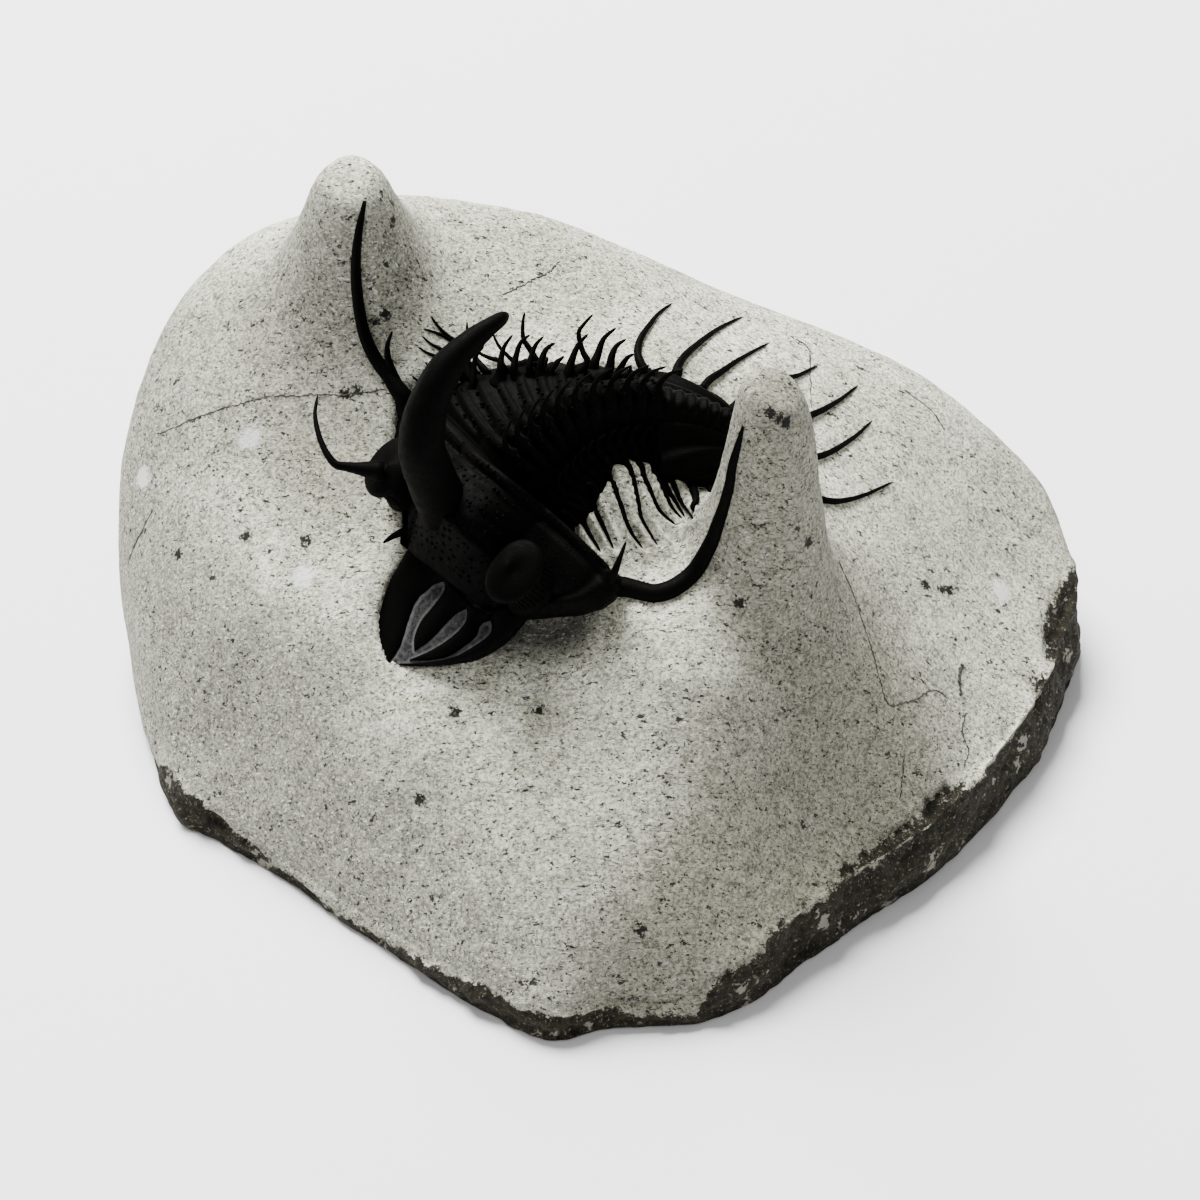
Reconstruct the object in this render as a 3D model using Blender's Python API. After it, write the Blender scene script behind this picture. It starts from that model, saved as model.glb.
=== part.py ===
"""Spiny trilobite fossil, free-standing on a carved limestone block.

Lengths in this file are in millimetres and become metres when a mesh is made.
X runs along the block, Y away from the animal's near side, and Z up. The block
rests on its flat cut base at Z = 0.
"""

import math

import bmesh
import bpy
import numpy as np
from mathutils import Vector
from mathutils.bvhtree import BVHTree
from mathutils.geometry import delaunay_2d_cdt

MM = 0.001
OBJECT_NAME = "trilobite_fossil"

# Clearance between the stone and the animal, and between the animal's three pieces.
GAP = 0.35

# ------------------------------------------------------------------ limestone
# The block's widest outline: x, y, height of the rim's upper edge, and how far
# the rim and the cut base lie inside the outline.
RIM = [
    (53.0, 15.0, 9.5, 0.6, 0.0),
    (51.4, 21.5, 11.0, 0.0, 1.5),
    (48.9, 27.3, 12.8, 0.0, 2.5),
    (43.5, 31.2, 14.0, 0.0, 3.0),
    (36.5, 34.8, 16.0, 0.0, 3.0),
    (27.0, 36.8, 18.5, 0.0, 3.0),
    (14.0, 38.6, 22.0, 0.0, 3.0),
    (0.0, 39.9, 27.0, 0.0, 3.0),
    (-14.0, 40.1, 31.0, 0.0, 3.0),
    (-27.0, 39.7, 34.0, 0.0, 3.0),
    (-38.0, 38.0, 33.0, 0.0, 3.0),
    (-46.0, 33.5, 28.0, 0.0, 3.0),
    (-51.0, 26.5, 21.0, 0.0, 3.0),
    (-52.6, 17.5, 14.0, 0.0, 2.0),
    (-51.2, 8.0, 8.0, 0.2, 1.0),
    (-48.6, -1.0, 5.5, 0.8, 0.0),
    (-45.3, -10.0, 3.5, 1.0, 0.0),
    (-40.8, -13.2, 2.5, 0.8, 0.0),
    (-31.4, -20.2, 2.5, 0.8, 0.0),
    (-20.6, -29.4, 3.0, 0.8, 0.0),
    (-12.2, -36.0, 4.0, 1.0, 0.0),
    (-5.0, -40.1, 4.5, 1.2, 0.0),
    (1.0, -38.4, 3.5, 1.2, 0.0),
    (8.0, -38.0, 3.0, 1.2, 0.0),
    (13.7, -36.2, 5.5, 1.2, 0.0),
    (18.4, -32.7, 7.0, 1.2, 0.0),
    (25.9, -25.6, 7.5, 1.2, 0.0),
    (34.7, -18.4, 7.5, 1.2, 0.0),
    (41.6, -10.2, 8.0, 1.2, 0.0),
    (47.3, -1.5, 8.5, 1.2, 0.0),
    (51.2, 7.2, 9.0, 1.0, 0.0),
]

# Heights that the stone's top surface passes through: x, y, height.
GROUND = [
    # low front edge
    (-31, -17, 11), (-20, -26, 9), (-10, -34, 9), (0, -35, 10.5),
    # front slope up to the snout
    (-39, -9, 10.5), (-20, -20, 17), (-10, -28, 15), (0, -28, 16),
    (-10, -18, 21.5), (-20, -16, 21), (-31, -9, 20), (0, -19, 22),
    # ridge running down from the right column, and the dark flank beyond it
    (12, -17, 25.5), (9, -24, 19), (5, -32, 13),
    (20, -13, 22), (20, -20, 14), (16, -30, 9.5), (27, -17, 11),
    (31, -8, 16), (38, -4, 12.5),
    # right plateau
    (38, 4, 16), (46, 8, 12), (32, 3, 20), (32, 13, 25), (28, 20, 29),
    (43, 18, 17.5), (37, 22, 24),
    # left flank
    (-46, -4, 13), (-49, 4, 19), (-49, 12, 25), (-48, 21, 33.5), (-44, 28, 41.4),
    (-36, -2, 24.5), (-31, 1, 28), (-39, 9, 30), (-31, 10, 33), (-38, 18, 37),
    # bed of the head
    (-26, 2, 30), (-22, -11, 23.2), (-28, -6, 26), (-21, 1, 30),
    (-13, -12, 24), (-4, -9, 28), (4, -10, 31), (9, -12, 29.5),
    # hollow between the columns
    (0, -3, 33.5), (6, -3, 31), (9, 1, 32), (-9, 3, 34.5), (-2, 8, 38.8),
    (-1.5, 0, 36.4), (1, 3, 38), (4, 4.5, 37.8), (7, 3.5, 36),
    (3, 10, 39.5), (9, 10, 34.5), (-18, 16, 40), (-12, 20, 41), (-3, 22, 41.5),
    (6, 22, 40), (15, 20, 36), (21, 21, 33),
    # far crest
    (-38, 33, 46), (-31, 36, 47.5), (-20, 36, 49.6), (-12, 35, 48.6), (-4, 34, 46.2),
    (4, 33, 42), (15, 30, 36.2), (27, 27, 31), (37, 26, 26.4),
]

# Stiffness of the top surface: higher values smooth over the single heights.
GROUND_STIFFNESS = 8.0

# Standing columns: centre, top height, radius of the shaft, how square its top is,
# and the share of the height that is a wider foot.
COLUMNS = [
    {"at": (-25.8, 25.5), "top": 58.6, "radius": 5.6, "power": 5.0, "foot": 0.2},
    {"at": (17.2, -2.4), "top": 54.6, "radius": 5.1, "power": 6.5, "foot": 0.18},
]
FOOT_SPREAD = 1.6
FOOT_POWER = 3.5
# How sharply the top surface rolls over into the rim.
SHOULDER_POWER = 12.0

# The top surface's mesh: rings as a share of the outline with their number of points,
# an even net under the animal, and rings round each column in shaft radii.
RIM_SECTORS = 72
STONE_RINGS = ((1.0, RIM_SECTORS), (0.985, RIM_SECTORS), (0.955, RIM_SECTORS), (0.91, 60),
               (0.85, 54), (0.78, 48), (0.69, 48), (0.59, 44), (0.49, 40), (0.38, 36),
               (0.27, 28), (0.17, 18), (0.07, 8))
RIM_BAND = 0.95
BED_CENTRE = (-4.0, 4.0)
BED_RADIUS = 20.0
BED_SPACING = 3.0
COLUMN_RINGS = ((0.0, 1), (0.3, 10), (0.58, 16), (0.82, 16), (1.05, 16), (1.35, 16),
                (1.75, 16), (2.2, 16))
COLUMN_CLEAR = 2.4
COLUMN_RIM_LIMIT = 0.9
# The stone keeps this far below the animal's underside before the sockets are cut.
COLLAR = 1.4

# ---------------------------------------------------------------- the animal
# The head's own frame: middle of the neck, direction ahead and the near side.
HEAD_AT = (-8.4, 2.6, 36.0)
HEAD_AHEAD = (-0.607, -0.562, -0.562)
HEAD_SIDE = (0.711, -0.700, -0.067)
HEAD_LENGTH = 12.0
HEAD_RINGS = 10
NECK_OVERHANG = 0.5
# The far cheek's rear corner is swept back; the near one is drawn forward.
HEAD_SWEEP = {"far": 2.2, "near": -1.9}
HEAD_NEAR_SHARE = 0.96
HEAD_SKIRT = 1.6
CHEEK_EDGE = 0.5
CHEEK_RISE = 4.0
GLABELLA_RISE = 3.0
GLABELLA_SWELL = 1.4
GLABELLA_HALF_WIDTH = 5.4
BROW_STARTS = 0.6
BROW_FALL = 0.55
HEAD_STATIONS = (0, 0.15, 0.3, 0.45, 0.6, 0.75, 0.9, 1)
HEAD_WIDTHS = (16.4, 16.6, 16.2, 15.0, 13.2, 11.0, 8.8, 7.4)
HEAD_TOP_STEPS = (-1, -0.85, -0.68, -0.5, -0.38, -0.27, -0.14, 0,
                  0.14, 0.27, 0.38, 0.5, 0.68, 0.85, 1)
HEAD_UNDER_STEPS = (1.0, 0.6, 0.0, -0.6, -1.0)
EYE_AT = {"far": (9.6, 5.8), "near": (8.8, 6.6)}
# The eye turret's height and radius from foot to brow, and its stretch across and along.
EYE_PROFILE = ((2.0, 2.9), (4.4, 2.8), (6.6, 3.0), (7.0, 3.5), (7.9, 3.2), (8.3, 1.8))
EYE_STRETCH = (0.85, 1.1)
EYE_SIDES = 12
# Each prong: sideways reach at the widest, and radii from root to tip.
SNOUT_PRONGS = ((-7.0, (2.0, 2.0, 1.6, 0.9)), (-2.4, (1.7, 1.8, 1.3, 0.75)),
                (2.6, (1.7, 1.75, 1.25, 0.7)), (7.1, (1.95, 2.05, 1.55, 0.83)))
# Distance ahead of the neck, and the share of the sideways reach kept there.
SNOUT_PATH = ((8.0, 1.0), (12.5, 0.97), (16.5, 0.7), (19.5, 0.35), (21.8, 0.06))
SNOUT_LIFT = 0.8
PRONG_FLATNESS = 0.75
HORN = ((-15.6, -2.2, 38.0), (-17.4, -3.4, 46.0), (-17.7, -2.8, 49.5), (-16.9, -1.4, 52.5),
        (-15.4, 0.1, 54.8), (-13.3, 1.7, 56.4), (-11.1, 3.2, 57.3), (-9.2, 4.8, 57.6))
HORN_RADII = (2.6, 2.6, 2.5, 2.2, 1.8, 1.35, 1.0, 0.6)
HEAD_SPINES = (
    ((-22.0, 1.6, 40.2), (-25.3, 1.4, 41.0), (-26.7, 1.5, 41.5), (-27.9, 3.4, 42.5),
     (-28.6, 6.0, 43.5), (-28.5, 8.0, 44.3)),
    ((-18.0, 1.8, 32.2), (-20.8, 1.2, 31.4), (-22.3, 0.3, 31.0)),
    ((0.7, -9.0, 33.4), (1.6, -9.0, 36.5), (2.6, -7.2, 38.5)),
    ((-19.6, 13.2, 37.6), (-21.6, 15.4, 41.4), (-22.0, 16.3, 43.5), (-21.5, 17.9, 44.5)),
)

SEGMENTS = 11
THORAX_START = 1.5
THORAX_END = 17.0
THORAX_SWEEP = 1.6
# Half-widths to the far side and, where stone covers the lobes' ends, the near side.
THORAX_STATIONS = (0, 2, 5, 8, 11, 14, 17, 19.5)
THORAX_FAR = (14.6, 13.8, 12.0, 10.4, 9.2, 8.4, 7.8, 7.6)
THORAX_NEAR = (9.0, 8.4, 7.2, 6.0, 5.0, 4.6, 4.9, 5.6)
AXIS_HEIGHT = 3.2
AXIS_HALF_WIDTH = 0.36
SIDE_HEIGHT = 2.6
SIDE_DROOP = 3.2
UNDER_DROOP = 0.55
JOINT_SWELL = 0.86
SHELL_SKIRT = 1.2
BACK_STEPS = (-1.0, -0.8, -0.55, -0.36, -0.2, 0.0, 0.2, 0.36, 0.55, 0.8, 1.0)
BACK_UNDER_STEPS = (1.0, 0.5, -0.5, -1.0)
TAIL_STEPS = (-1.0, -0.8, -0.5, -0.25, 0.0, 0.25, 0.5, 0.8, 1.0)
TAIL_UNDER_STEPS = (1.0, 0.4, -0.4, -1.0)
# Distance behind the neck, place of the underside's middle, near-side direction.
BODY_ROWS = (
    (-2.0, -9.6, 1.5, 34.9, 0.711, -0.700, -0.067),
    (0.0, -8.4, 2.6, 36.0, 0.711, -0.700, -0.067),
    (5.0, -5.3, 5.2, 38.4, 0.65, -0.75, -0.12),
    (10.0, -1.8, 7.2, 39.8, 0.52, -0.84, -0.18),
    (16.0, 3.4, 8.8, 39.6, 0.36, -0.91, -0.2),
    (21.0, 8.0, 9.2, 38.2, 0.27, -0.94, -0.2),
    (26.0, 12.3, 9.4, 35.8, 0.22, -0.95, -0.2),
    (31.0, 16.0, 9.6, 32.8, 0.2, -0.96, -0.2),
)
TAIL_START = 17.9
TAIL_LENGTH = 11.9
TAIL_WIDTHS = {"far": 7.6, "near": 5.9}
TAIL_DROOP = 1.0
TAIL_RINGS = 7
TAIL_EDGE_HEIGHT = 1.2
TAIL_VAULT = 2.4
TAIL_AXIS_RISE = 1.3
TAIL_AXIS_HALF_WIDTH = 0.25

# Spines start this far inside their shield.
ROOT_DEPTH = 0.8
# Height of the tip spines' roots in their segment's frame.
TIP_ROOT = -1.8
# Length and radius of the upright spines, and where the side rows stand.
AXIAL_SPINE = (5.4, 0.45)
NEAR_SPINE = (2.6, 0.4)
SIDE_ROW = 0.6
SPINE_SHRINK = 0.03
# The far row's spines: reach along X, and reach up and away from the near side.
FAR_ROW = ((0.8, 4.2), (1.1, 4.2), (1.0, 4.0), (1.1, 3.6), (1.0, 3.2), (1.9, 4.8), (2.2, 5.0),
           (1.9, 4.2), (1.8, 3.4), (1.6, 2.8), (1.6, 2.4))
FAR_ROW_RADIUS = 0.4
UP_AND_AWAY = (0.0, 0.7071, 0.7071)
# An upright spine's lean back and rise, in spine lengths.
UPRIGHT_PATH = ((0.1, 0.3), (-0.2, 0.72), (-0.55, 1.0))
# Far tip spines: length, shrink to each segment, lean ahead and drop.
FAR_TIP = (7.0, 0.075, 0.1, 0.1)
# Line on the stone along which the near tip spines end.
NEAR_TIPS = ((0.0, -3.2, 32.6), (1.9, -2.9, 32.8), (4.0, -2.5, 33.4), (6.2, -1.8, 34.4),
             (7.6, -0.6, 35.4), (8.2, 0.8, 36.4))
# The near tips' straight spans cross a ridge of stone, so their joints stand higher.
NEAR_TIP_LIFT = 0.3
TIP_RADII = (0.42, 0.33, 0.27, 0.16)
# The first segments' ends are tucked under the head's cheeks and carry no tip spines.
TUCKED_SEGMENTS = 2

# The long cheek spines, which run up the faces of the two columns.
GENAL_NEAR = ((0.3, -8.3, 33.9), (4.4, -9.2, 32.3), (6.4, -8.7, 31.3), (9.0, -7.9, 31.9),
              (10.9, -6.8, 34.1), (12.2, -5.9, 38.2), (13.2, -5.2, 43.7), (13.6, -4.4, 48.5),
              (13.9, -4.0, 51.0))
GENAL_FAR = ((-19.0, 12.4, 37.2), (-20.5, 13.9, 39.2), (-22.0, 15.4, 40.6), (-23.9, 17.6, 43.2),
             (-25.1, 19.4, 47.4), (-25.3, 20.7, 51.7), (-24.8, 21.8, 55.4), (-24.2, 23.0, 58.1))
GENAL_NEAR_RADII = (1.25, 1.0, 0.95, 0.85, 0.75, 0.65, 0.5, 0.3)
GENAL_FAR_RADII = (1.1, 0.7, 0.65, 0.6, 0.55, 0.45, 0.3)
SMALL_SPINE_RADII = (0.7, 0.42, 0.32, 0.2)
TAIL_SPINE_RADII = (0.8, 0.6, 0.5, 0.25)
TAIL_SPINES = (
    ((7.4, 15.8, 39.6), (5.6, 18.6, 41.2), (4.6, 21.1, 41.2), (5.1, 23.3, 41.0), (7.7, 27.9, 40.4)),
    ((9.4, 15.8, 39.0), (8.9, 19.5, 39.8), (10.5, 23.1, 39.2), (15.2, 29.4, 37.2)),
    ((11.2, 15.4, 38.0), (13.0, 19.4, 38.0), (15.2, 22.8, 37.2), (18.1, 26.2, 36.0)),
    ((13.6, 14.4, 36.6), (16.2, 18.6, 36.2), (19.5, 21.8, 34.8), (23.4, 25.7, 33.6)),
    ((15.2, 13.0, 35.2), (18.6, 16.0, 33.6), (22.5, 18.9, 32.4), (27.7, 24.9, 31.2)),
    ((16.0, 11.2, 34.2), (19.5, 12.4, 32.4), (23.1, 13.8, 31.0), (29.1, 21.2, 29.4)),
    ((15.8, 9.0, 33.8), (19.6, 8.6, 31.6), (23.8, 8.5, 29.6), (31.2, 14.7, 26.6)),
    ((14.8, 7.0, 34.0), (16.8, 5.0, 33.0), (18.6, 3.9, 32.0)),
    ((13.4, 5.4, 35.0), (13.4, 3.8, 34.6), (13.0, 2.2, 34.2)),
    ((11.8, 5.0, 36.0), (11.9, 2.2, 35.6), (11.6, -1.2, 35.0)),
    ((10.4, 4.6, 36.6), (10.3, 1.6, 35.8), (10.3, -2.5, 35.0)),
)

LIMESTONE = (0.56, 0.56, 0.51)
STONE_ROUGHNESS = 0.9
FOSSIL_BLACK = (0.012, 0.012, 0.012)
FOSSIL_ROUGHNESS = 0.4


def closed_curve(points, steps):
    """Catmull-Rom curve through a closed list of points, steps to each span."""
    p = np.array(points, float)
    a, b, c, d = (np.roll(p, shift, axis=0) for shift in (1, 0, -1, -2))
    out = []
    for t in np.linspace(0, 1, steps, endpoint=False):
        out.append(0.5 * (2 * b + (c - a) * t + (2 * a - 5 * b + 4 * c - d) * t ** 2
                          + (3 * b - a - 3 * c + d) * t ** 3))
    return np.stack(out, axis=1).reshape(-1, p.shape[1])


def spline_weights(spots):
    """Weights of the thin-plate spline through the given x, y, height spots."""
    s = np.array(spots, float)
    n = len(s)
    kernel = thin_plate(s[:, None, :2], s[None, :, :2])
    plane = np.column_stack([np.ones(n), s[:, :2]])
    system = np.block([[kernel + np.eye(n) * GROUND_STIFFNESS, plane], [plane.T, np.zeros((3, 3))]])
    return np.linalg.solve(system, np.concatenate([s[:, 2], np.zeros(3)]))


def thin_plate(a, b):
    """Bending kernel of the thin-plate spline between plan points."""
    r2 = ((a - b) ** 2).sum(axis=-1)
    return 0.5 * r2 * np.log(r2 + 1e-9)


GROUND_WEIGHTS = spline_weights(GROUND)
RIM_CURVE = closed_curve(RIM, 12)
RIM_ANGLE = np.arctan2(RIM_CURVE[:, 1], RIM_CURVE[:, 0])
RIM_ORDER = np.argsort(RIM_ANGLE)


def rim_at(angle):
    """Outline radius, rim height, rim inset and base inset in the given directions."""
    angles = RIM_ANGLE[RIM_ORDER]
    radius = np.hypot(RIM_CURVE[:, 0], RIM_CURVE[:, 1])[RIM_ORDER]
    wrap = 2 * math.pi
    a = (np.asarray(angle) + math.pi) % wrap - math.pi
    return [np.interp(a, angles, values, period=wrap)
            for values in (radius, *RIM_CURVE[RIM_ORDER, 2:5].T)]


def ground_height(x, y):
    """Height of the carved surface before the columns and the rim's shoulder."""
    spots = np.array(GROUND, float)
    here = np.stack([x, y], axis=-1)
    kernel = thin_plate(here[..., None, :], spots[:, :2])
    plane = GROUND_WEIGHTS[-3] + GROUND_WEIGHTS[-2] * x + GROUND_WEIGHTS[-1] * y
    return kernel @ GROUND_WEIGHTS[:-3] + plane


def stone_height(x, y):
    """Height of the stone's top surface."""
    x = np.asarray(x, float)
    y = np.asarray(y, float)
    height = ground_height(x, y)
    for column in COLUMNS:
        cx, cy = column["at"]
        rise = column["top"] - ground_height(np.array(cx), np.array(cy))
        reach = np.hypot(x - cx, y - cy) / column["radius"]
        shaft = (1 - column["foot"]) / (1 + reach ** column["power"])
        foot = column["foot"] / (1 + (reach / FOOT_SPREAD) ** FOOT_POWER)
        height = height + rise * (shaft + foot)
    radius, rim, rim_inset, _ = rim_at(np.arctan2(y, x))
    share = np.clip(np.hypot(x, y) / (radius - rim_inset), 0, 1)
    return rim + (height - rim) * np.sqrt(1 - share ** SHOULDER_POWER)


def stone_points():
    """Plan points of the top surface: the rim first, then the inner rings."""
    points = []
    for share, sectors in STONE_RINGS:
        angles = np.arange(sectors) * 2 * math.pi / sectors
        outline, _, rim_inset, _ = rim_at(angles)
        radius = (outline - rim_inset) * share
        ring = np.column_stack([radius * np.cos(angles), radius * np.sin(angles)])
        if share < RIM_BAND:
            for column in COLUMNS:
                away = np.hypot(*(ring - column["at"]).T)
                ring = ring[away > column["radius"] * COLUMN_CLEAR]
            away = np.hypot(ring[:, 0] - BED_CENTRE[0], ring[:, 1] - BED_CENTRE[1])
            ring = ring[away > BED_RADIUS]
        points.extend(map(tuple, ring))
    for column in COLUMNS:
        points.extend(column_points(column))
    points.extend(bed_points())
    return points


def column_points(column):
    """Rings of plan points round a column, turned so that they interlock."""
    points = []
    for reach, sectors in COLUMN_RINGS:
        for angle in np.arange(sectors) * 2 * math.pi / sectors + reach:
            x = column["at"][0] + reach * column["radius"] * math.cos(angle)
            y = column["at"][1] + reach * column["radius"] * math.sin(angle)
            if math.hypot(x, y) < COLUMN_RIM_LIMIT * rim_at(math.atan2(y, x))[0]:
                points.append((x, y))
    return points


def bed_points():
    """An even net of plan points under the animal, clear of the columns."""
    points = []
    steps = int(BED_RADIUS / BED_SPACING) + 1
    for row in range(-steps, steps + 1):
        for place in range(-steps, steps + 1):
            dx = (place + 0.5 * (row % 2)) * BED_SPACING
            dy = row * BED_SPACING * 0.87
            spot = (BED_CENTRE[0] + dx, BED_CENTRE[1] + dy)
            clear = all(math.dist(spot, c["at"]) > c["radius"] * COLUMN_CLEAR for c in COLUMNS)
            if math.hypot(dx, dy) < BED_RADIUS - 1 and clear:
                points.append(spot)
    return points


def make_stone(bodies):
    """The limestone block: carved top, rough rim wall and flat cut base."""
    plan = stone_points()
    rim = list(range(RIM_SECTORS))
    spots, _, faces, _, _, _ = delaunay_2d_cdt([Vector(p) for p in plan], [], [rim], 1, 1e-4)
    heights = stone_height(np.array([p.x for p in spots]), np.array([p.y for p in spots]))
    for body in bodies:
        for i, spot in enumerate(spots):
            hit = body.ray_cast(Vector((spot.x, spot.y, 0)), Vector((0, 0, 1)))[0]
            if hit:
                heights[i] = min(heights[i], hit.z)
    top = [(p.x, p.y, z) for p, z in zip(spots, heights)]
    angles = np.arange(RIM_SECTORS) * 2 * math.pi / RIM_SECTORS
    outline, height, _, base_inset = rim_at(angles)
    vertices = top
    polygons = [tuple(face) for face in faces]
    upper = rim
    for share in (0.5, 0.0):
        lower = [len(vertices) + i for i in range(RIM_SECTORS)]
        for r, a, z in zip(outline - base_inset * (1 - share), angles, height):
            vertices.append((r * math.cos(a), r * math.sin(a), z * share))
        for i in range(RIM_SECTORS):
            j = (i + 1) % RIM_SECTORS
            polygons.append((upper[i], lower[i], lower[j], upper[j]))
        upper = lower
    polygons.append(tuple(upper))
    return vertices, polygons


def block_middle(vertices):
    """Middle of the block's outline, at the height of its base."""
    corners = np.array(vertices)
    middle = 0.5 * (corners.min(axis=0) + corners.max(axis=0))
    return Vector((middle[0], middle[1], 0))


# -------------------------------------------------------------- shared shaping
def smooth_path(points, count):
    """Evenly numbered points on a Catmull-Rom curve through an open list."""
    p = np.array(points, float)
    p = np.vstack([2 * p[0] - p[1], p, 2 * p[-1] - p[-2]])
    out = []
    for t in np.linspace(0, len(p) - 3, count):
        i = min(int(t), len(p) - 4)
        u = t - i
        a, b, c, d = p[i:i + 4]
        out.append(0.5 * (2 * b + (c - a) * u + (2 * a - 5 * b + 4 * c - d) * u ** 2
                          + (3 * b - a - 3 * c + d) * u ** 3))
    return np.array(out)


def unit(v):
    """The vector at length one."""
    return v / (np.linalg.norm(v) + 1e-12)


def loft(rings, upper=0):
    """Closed skin over rings with equal point counts.

    The ends are flat fans, or strips between the first upper points of a ring and
    the rest where a shield's end isn't flat.
    """
    sides = len(rings[0])
    vertices = [tuple(p) for ring in rings for p in ring]
    polygons = []
    for k in range(len(rings) - 1):
        for i in range(sides):
            j = (i + 1) % sides
            polygons.append((k * sides + i, k * sides + j,
                             (k + 1) * sides + j, (k + 1) * sides + i))
    for start in (0, (len(rings) - 1) * sides):
        if upper:
            polygons.extend(end_strip(start, sides, upper))
        else:
            polygons.append(tuple(range(start, start + sides)))
    return vertices, polygons


def end_strip(start, sides, upper):
    """Triangles between the upper points of an end ring and its lower points."""
    top = [start + i for i in range(upper)]
    bottom = [start + i for i in reversed(range(upper, sides))]
    i = 0
    j = 0
    strip = []
    while i < len(top) - 1 or j < len(bottom) - 1:
        if j == len(bottom) - 1 or (i + 1) / (len(top) - 1) <= (j + 1) / (len(bottom) - 1):
            strip.append((top[i], top[i + 1], bottom[j]))
            i += 1
        else:
            strip.append((top[i], bottom[j + 1], bottom[j]))
            j += 1
    return strip


def tube(points, radii, sides=5, rings=5, flat=1.0, up=(0, 0, 1)):
    """Tapered round or flattened tube along a smooth path."""
    path = smooth_path(points, rings)
    size = np.interp(np.linspace(0, 1, rings), np.linspace(0, 1, len(radii)), radii)
    out = []
    for k, centre in enumerate(path):
        along = unit(path[min(k + 1, rings - 1)] - path[max(k - 1, 0)])
        across = unit(np.cross(along, up))
        lift = np.cross(across, along)
        angles = np.arange(sides) * 2 * math.pi / sides
        out.append([centre + size[k] * (across * math.cos(a) + lift * flat * math.sin(a))
                    for a in angles])
    return loft(out)


def joined(pieces):
    """Several vertex and polygon lists as one."""
    vertices = []
    polygons = []
    for piece_vertices, piece_polygons in pieces:
        start = len(vertices)
        vertices.extend(piece_vertices)
        polygons.extend(tuple(i + start for i in p) for p in piece_polygons)
    return vertices, polygons


def bvh(shape):
    """A shape's surface, ready for nearest-point and ray tests."""
    return BVHTree.FromPolygons([Vector(p) for p in shape[0]], shape[1])


# ------------------------------------------------------------------- the animal
def frame_point(frame, a, b, h):
    """Point a to the near side, b forward and h up from a body frame."""
    origin, side, ahead, up = frame
    return origin + a * side + b * ahead + h * up


def head_frame():
    """The head's origin and its near-side, ahead and up directions."""
    ahead = unit(np.array(HEAD_AHEAD))
    side = np.array(HEAD_SIDE)
    side = unit(side - ahead * side.dot(ahead))
    return np.array(HEAD_AT), side, ahead, np.cross(ahead, side)


HEAD = head_frame()


def head_shell(grow):
    """The vaulted head shield with its glabella, before eyes, horn and snout."""
    rings = []
    for v in np.linspace(0, 1, HEAD_RINGS):
        half = np.interp(v, HEAD_STATIONS, HEAD_WIDTHS)
        ahead = HEAD_LENGTH * v - NECK_OVERHANG + grow * (2 * v - 1)
        ring = []
        for u in HEAD_TOP_STEPS:
            b = ahead - head_sweep(u) * (1 - v)
            height = head_height(half * u, u, v) + grow
            ring.append(frame_point(HEAD, head_reach(half, u) + grow * u, b, height))
        for u in HEAD_UNDER_STEPS:
            b = ahead - head_sweep(u) * (1 - v)
            reach = head_reach(half, u) + grow * u
            ring.append(frame_point(HEAD, reach, b, -HEAD_SKIRT - grow))
        rings.append(ring)
    return loft(rings, upper=len(HEAD_TOP_STEPS))


def head_sweep(u):
    """How far the head's rear edge is swept back at a share of the half-width."""
    return HEAD_SWEEP["near" if u > 0 else "far"] * abs(u) ** 2.2


def head_reach(half, u):
    """Sideways place of a share of the half-width; the near cheek is narrower."""
    return half * u * (1 - (1 - HEAD_NEAR_SHARE) * max(u, 0))


def head_height(a, u, v):
    """Height of the head's top: domed cheeks, the glabella, and the fall to the brow."""
    cheek = CHEEK_EDGE + CHEEK_RISE * (1 - abs(u) ** 2.2) ** 0.8
    swell = GLABELLA_SWELL * math.exp(-((v - 0.55) / 0.3) ** 2)
    glabella = (GLABELLA_RISE + swell) * math.exp(-abs(a / GLABELLA_HALF_WIDTH) ** 4)
    fall = BROW_FALL * max(0.0, v - BROW_STARTS) / (1 - BROW_STARTS)
    return (cheek + glabella) * (1 - fall)


def head_eye(name, side):
    """A tall oval eye turret with a brow lobe above it."""
    middle, ahead = EYE_AT[name]
    rings = []
    for height, radius in EYE_PROFILE:
        ring = []
        for angle in np.arange(EYE_SIDES) * 2 * math.pi / EYE_SIDES:
            a = middle * side + radius * EYE_STRETCH[0] * math.cos(angle)
            b = ahead + radius * EYE_STRETCH[1] * math.sin(angle)
            ring.append(frame_point(HEAD, a, b, height))
        rings.append(ring)
    return loft(rings)


def snout_prongs(grow=0.0):
    """Four flattened prongs that spread from the head and meet at the tip."""
    prongs = []
    for spread, radii in SNOUT_PRONGS:
        width = [radius + grow for radius in radii]
        path = []
        for b, share in SNOUT_PATH:
            ahead = b + (grow if b == SNOUT_PATH[-1][0] else 0)
            path.append(frame_point(HEAD, spread * share, ahead, SNOUT_LIFT * (1 - share)))
        prongs.append(tube(path, width, sides=8, rings=7, flat=PRONG_FLATNESS, up=HEAD[3]))
    return prongs


def body_frame(s):
    """Body frame at the distance s behind the neck."""
    rows = np.array(BODY_ROWS, float)
    origin = np.array([smooth_value(s, rows[:, 0], rows[:, k]) for k in (1, 2, 3)])
    later = np.array([smooth_value(s + 0.1, rows[:, 0], rows[:, k]) for k in (1, 2, 3)])
    ahead = unit(origin - later)
    side = np.array([smooth_value(s, rows[:, 0], rows[:, k]) for k in (4, 5, 6)])
    side = unit(side - ahead * side.dot(ahead))
    return origin, side, ahead, np.cross(ahead, side)


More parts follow.
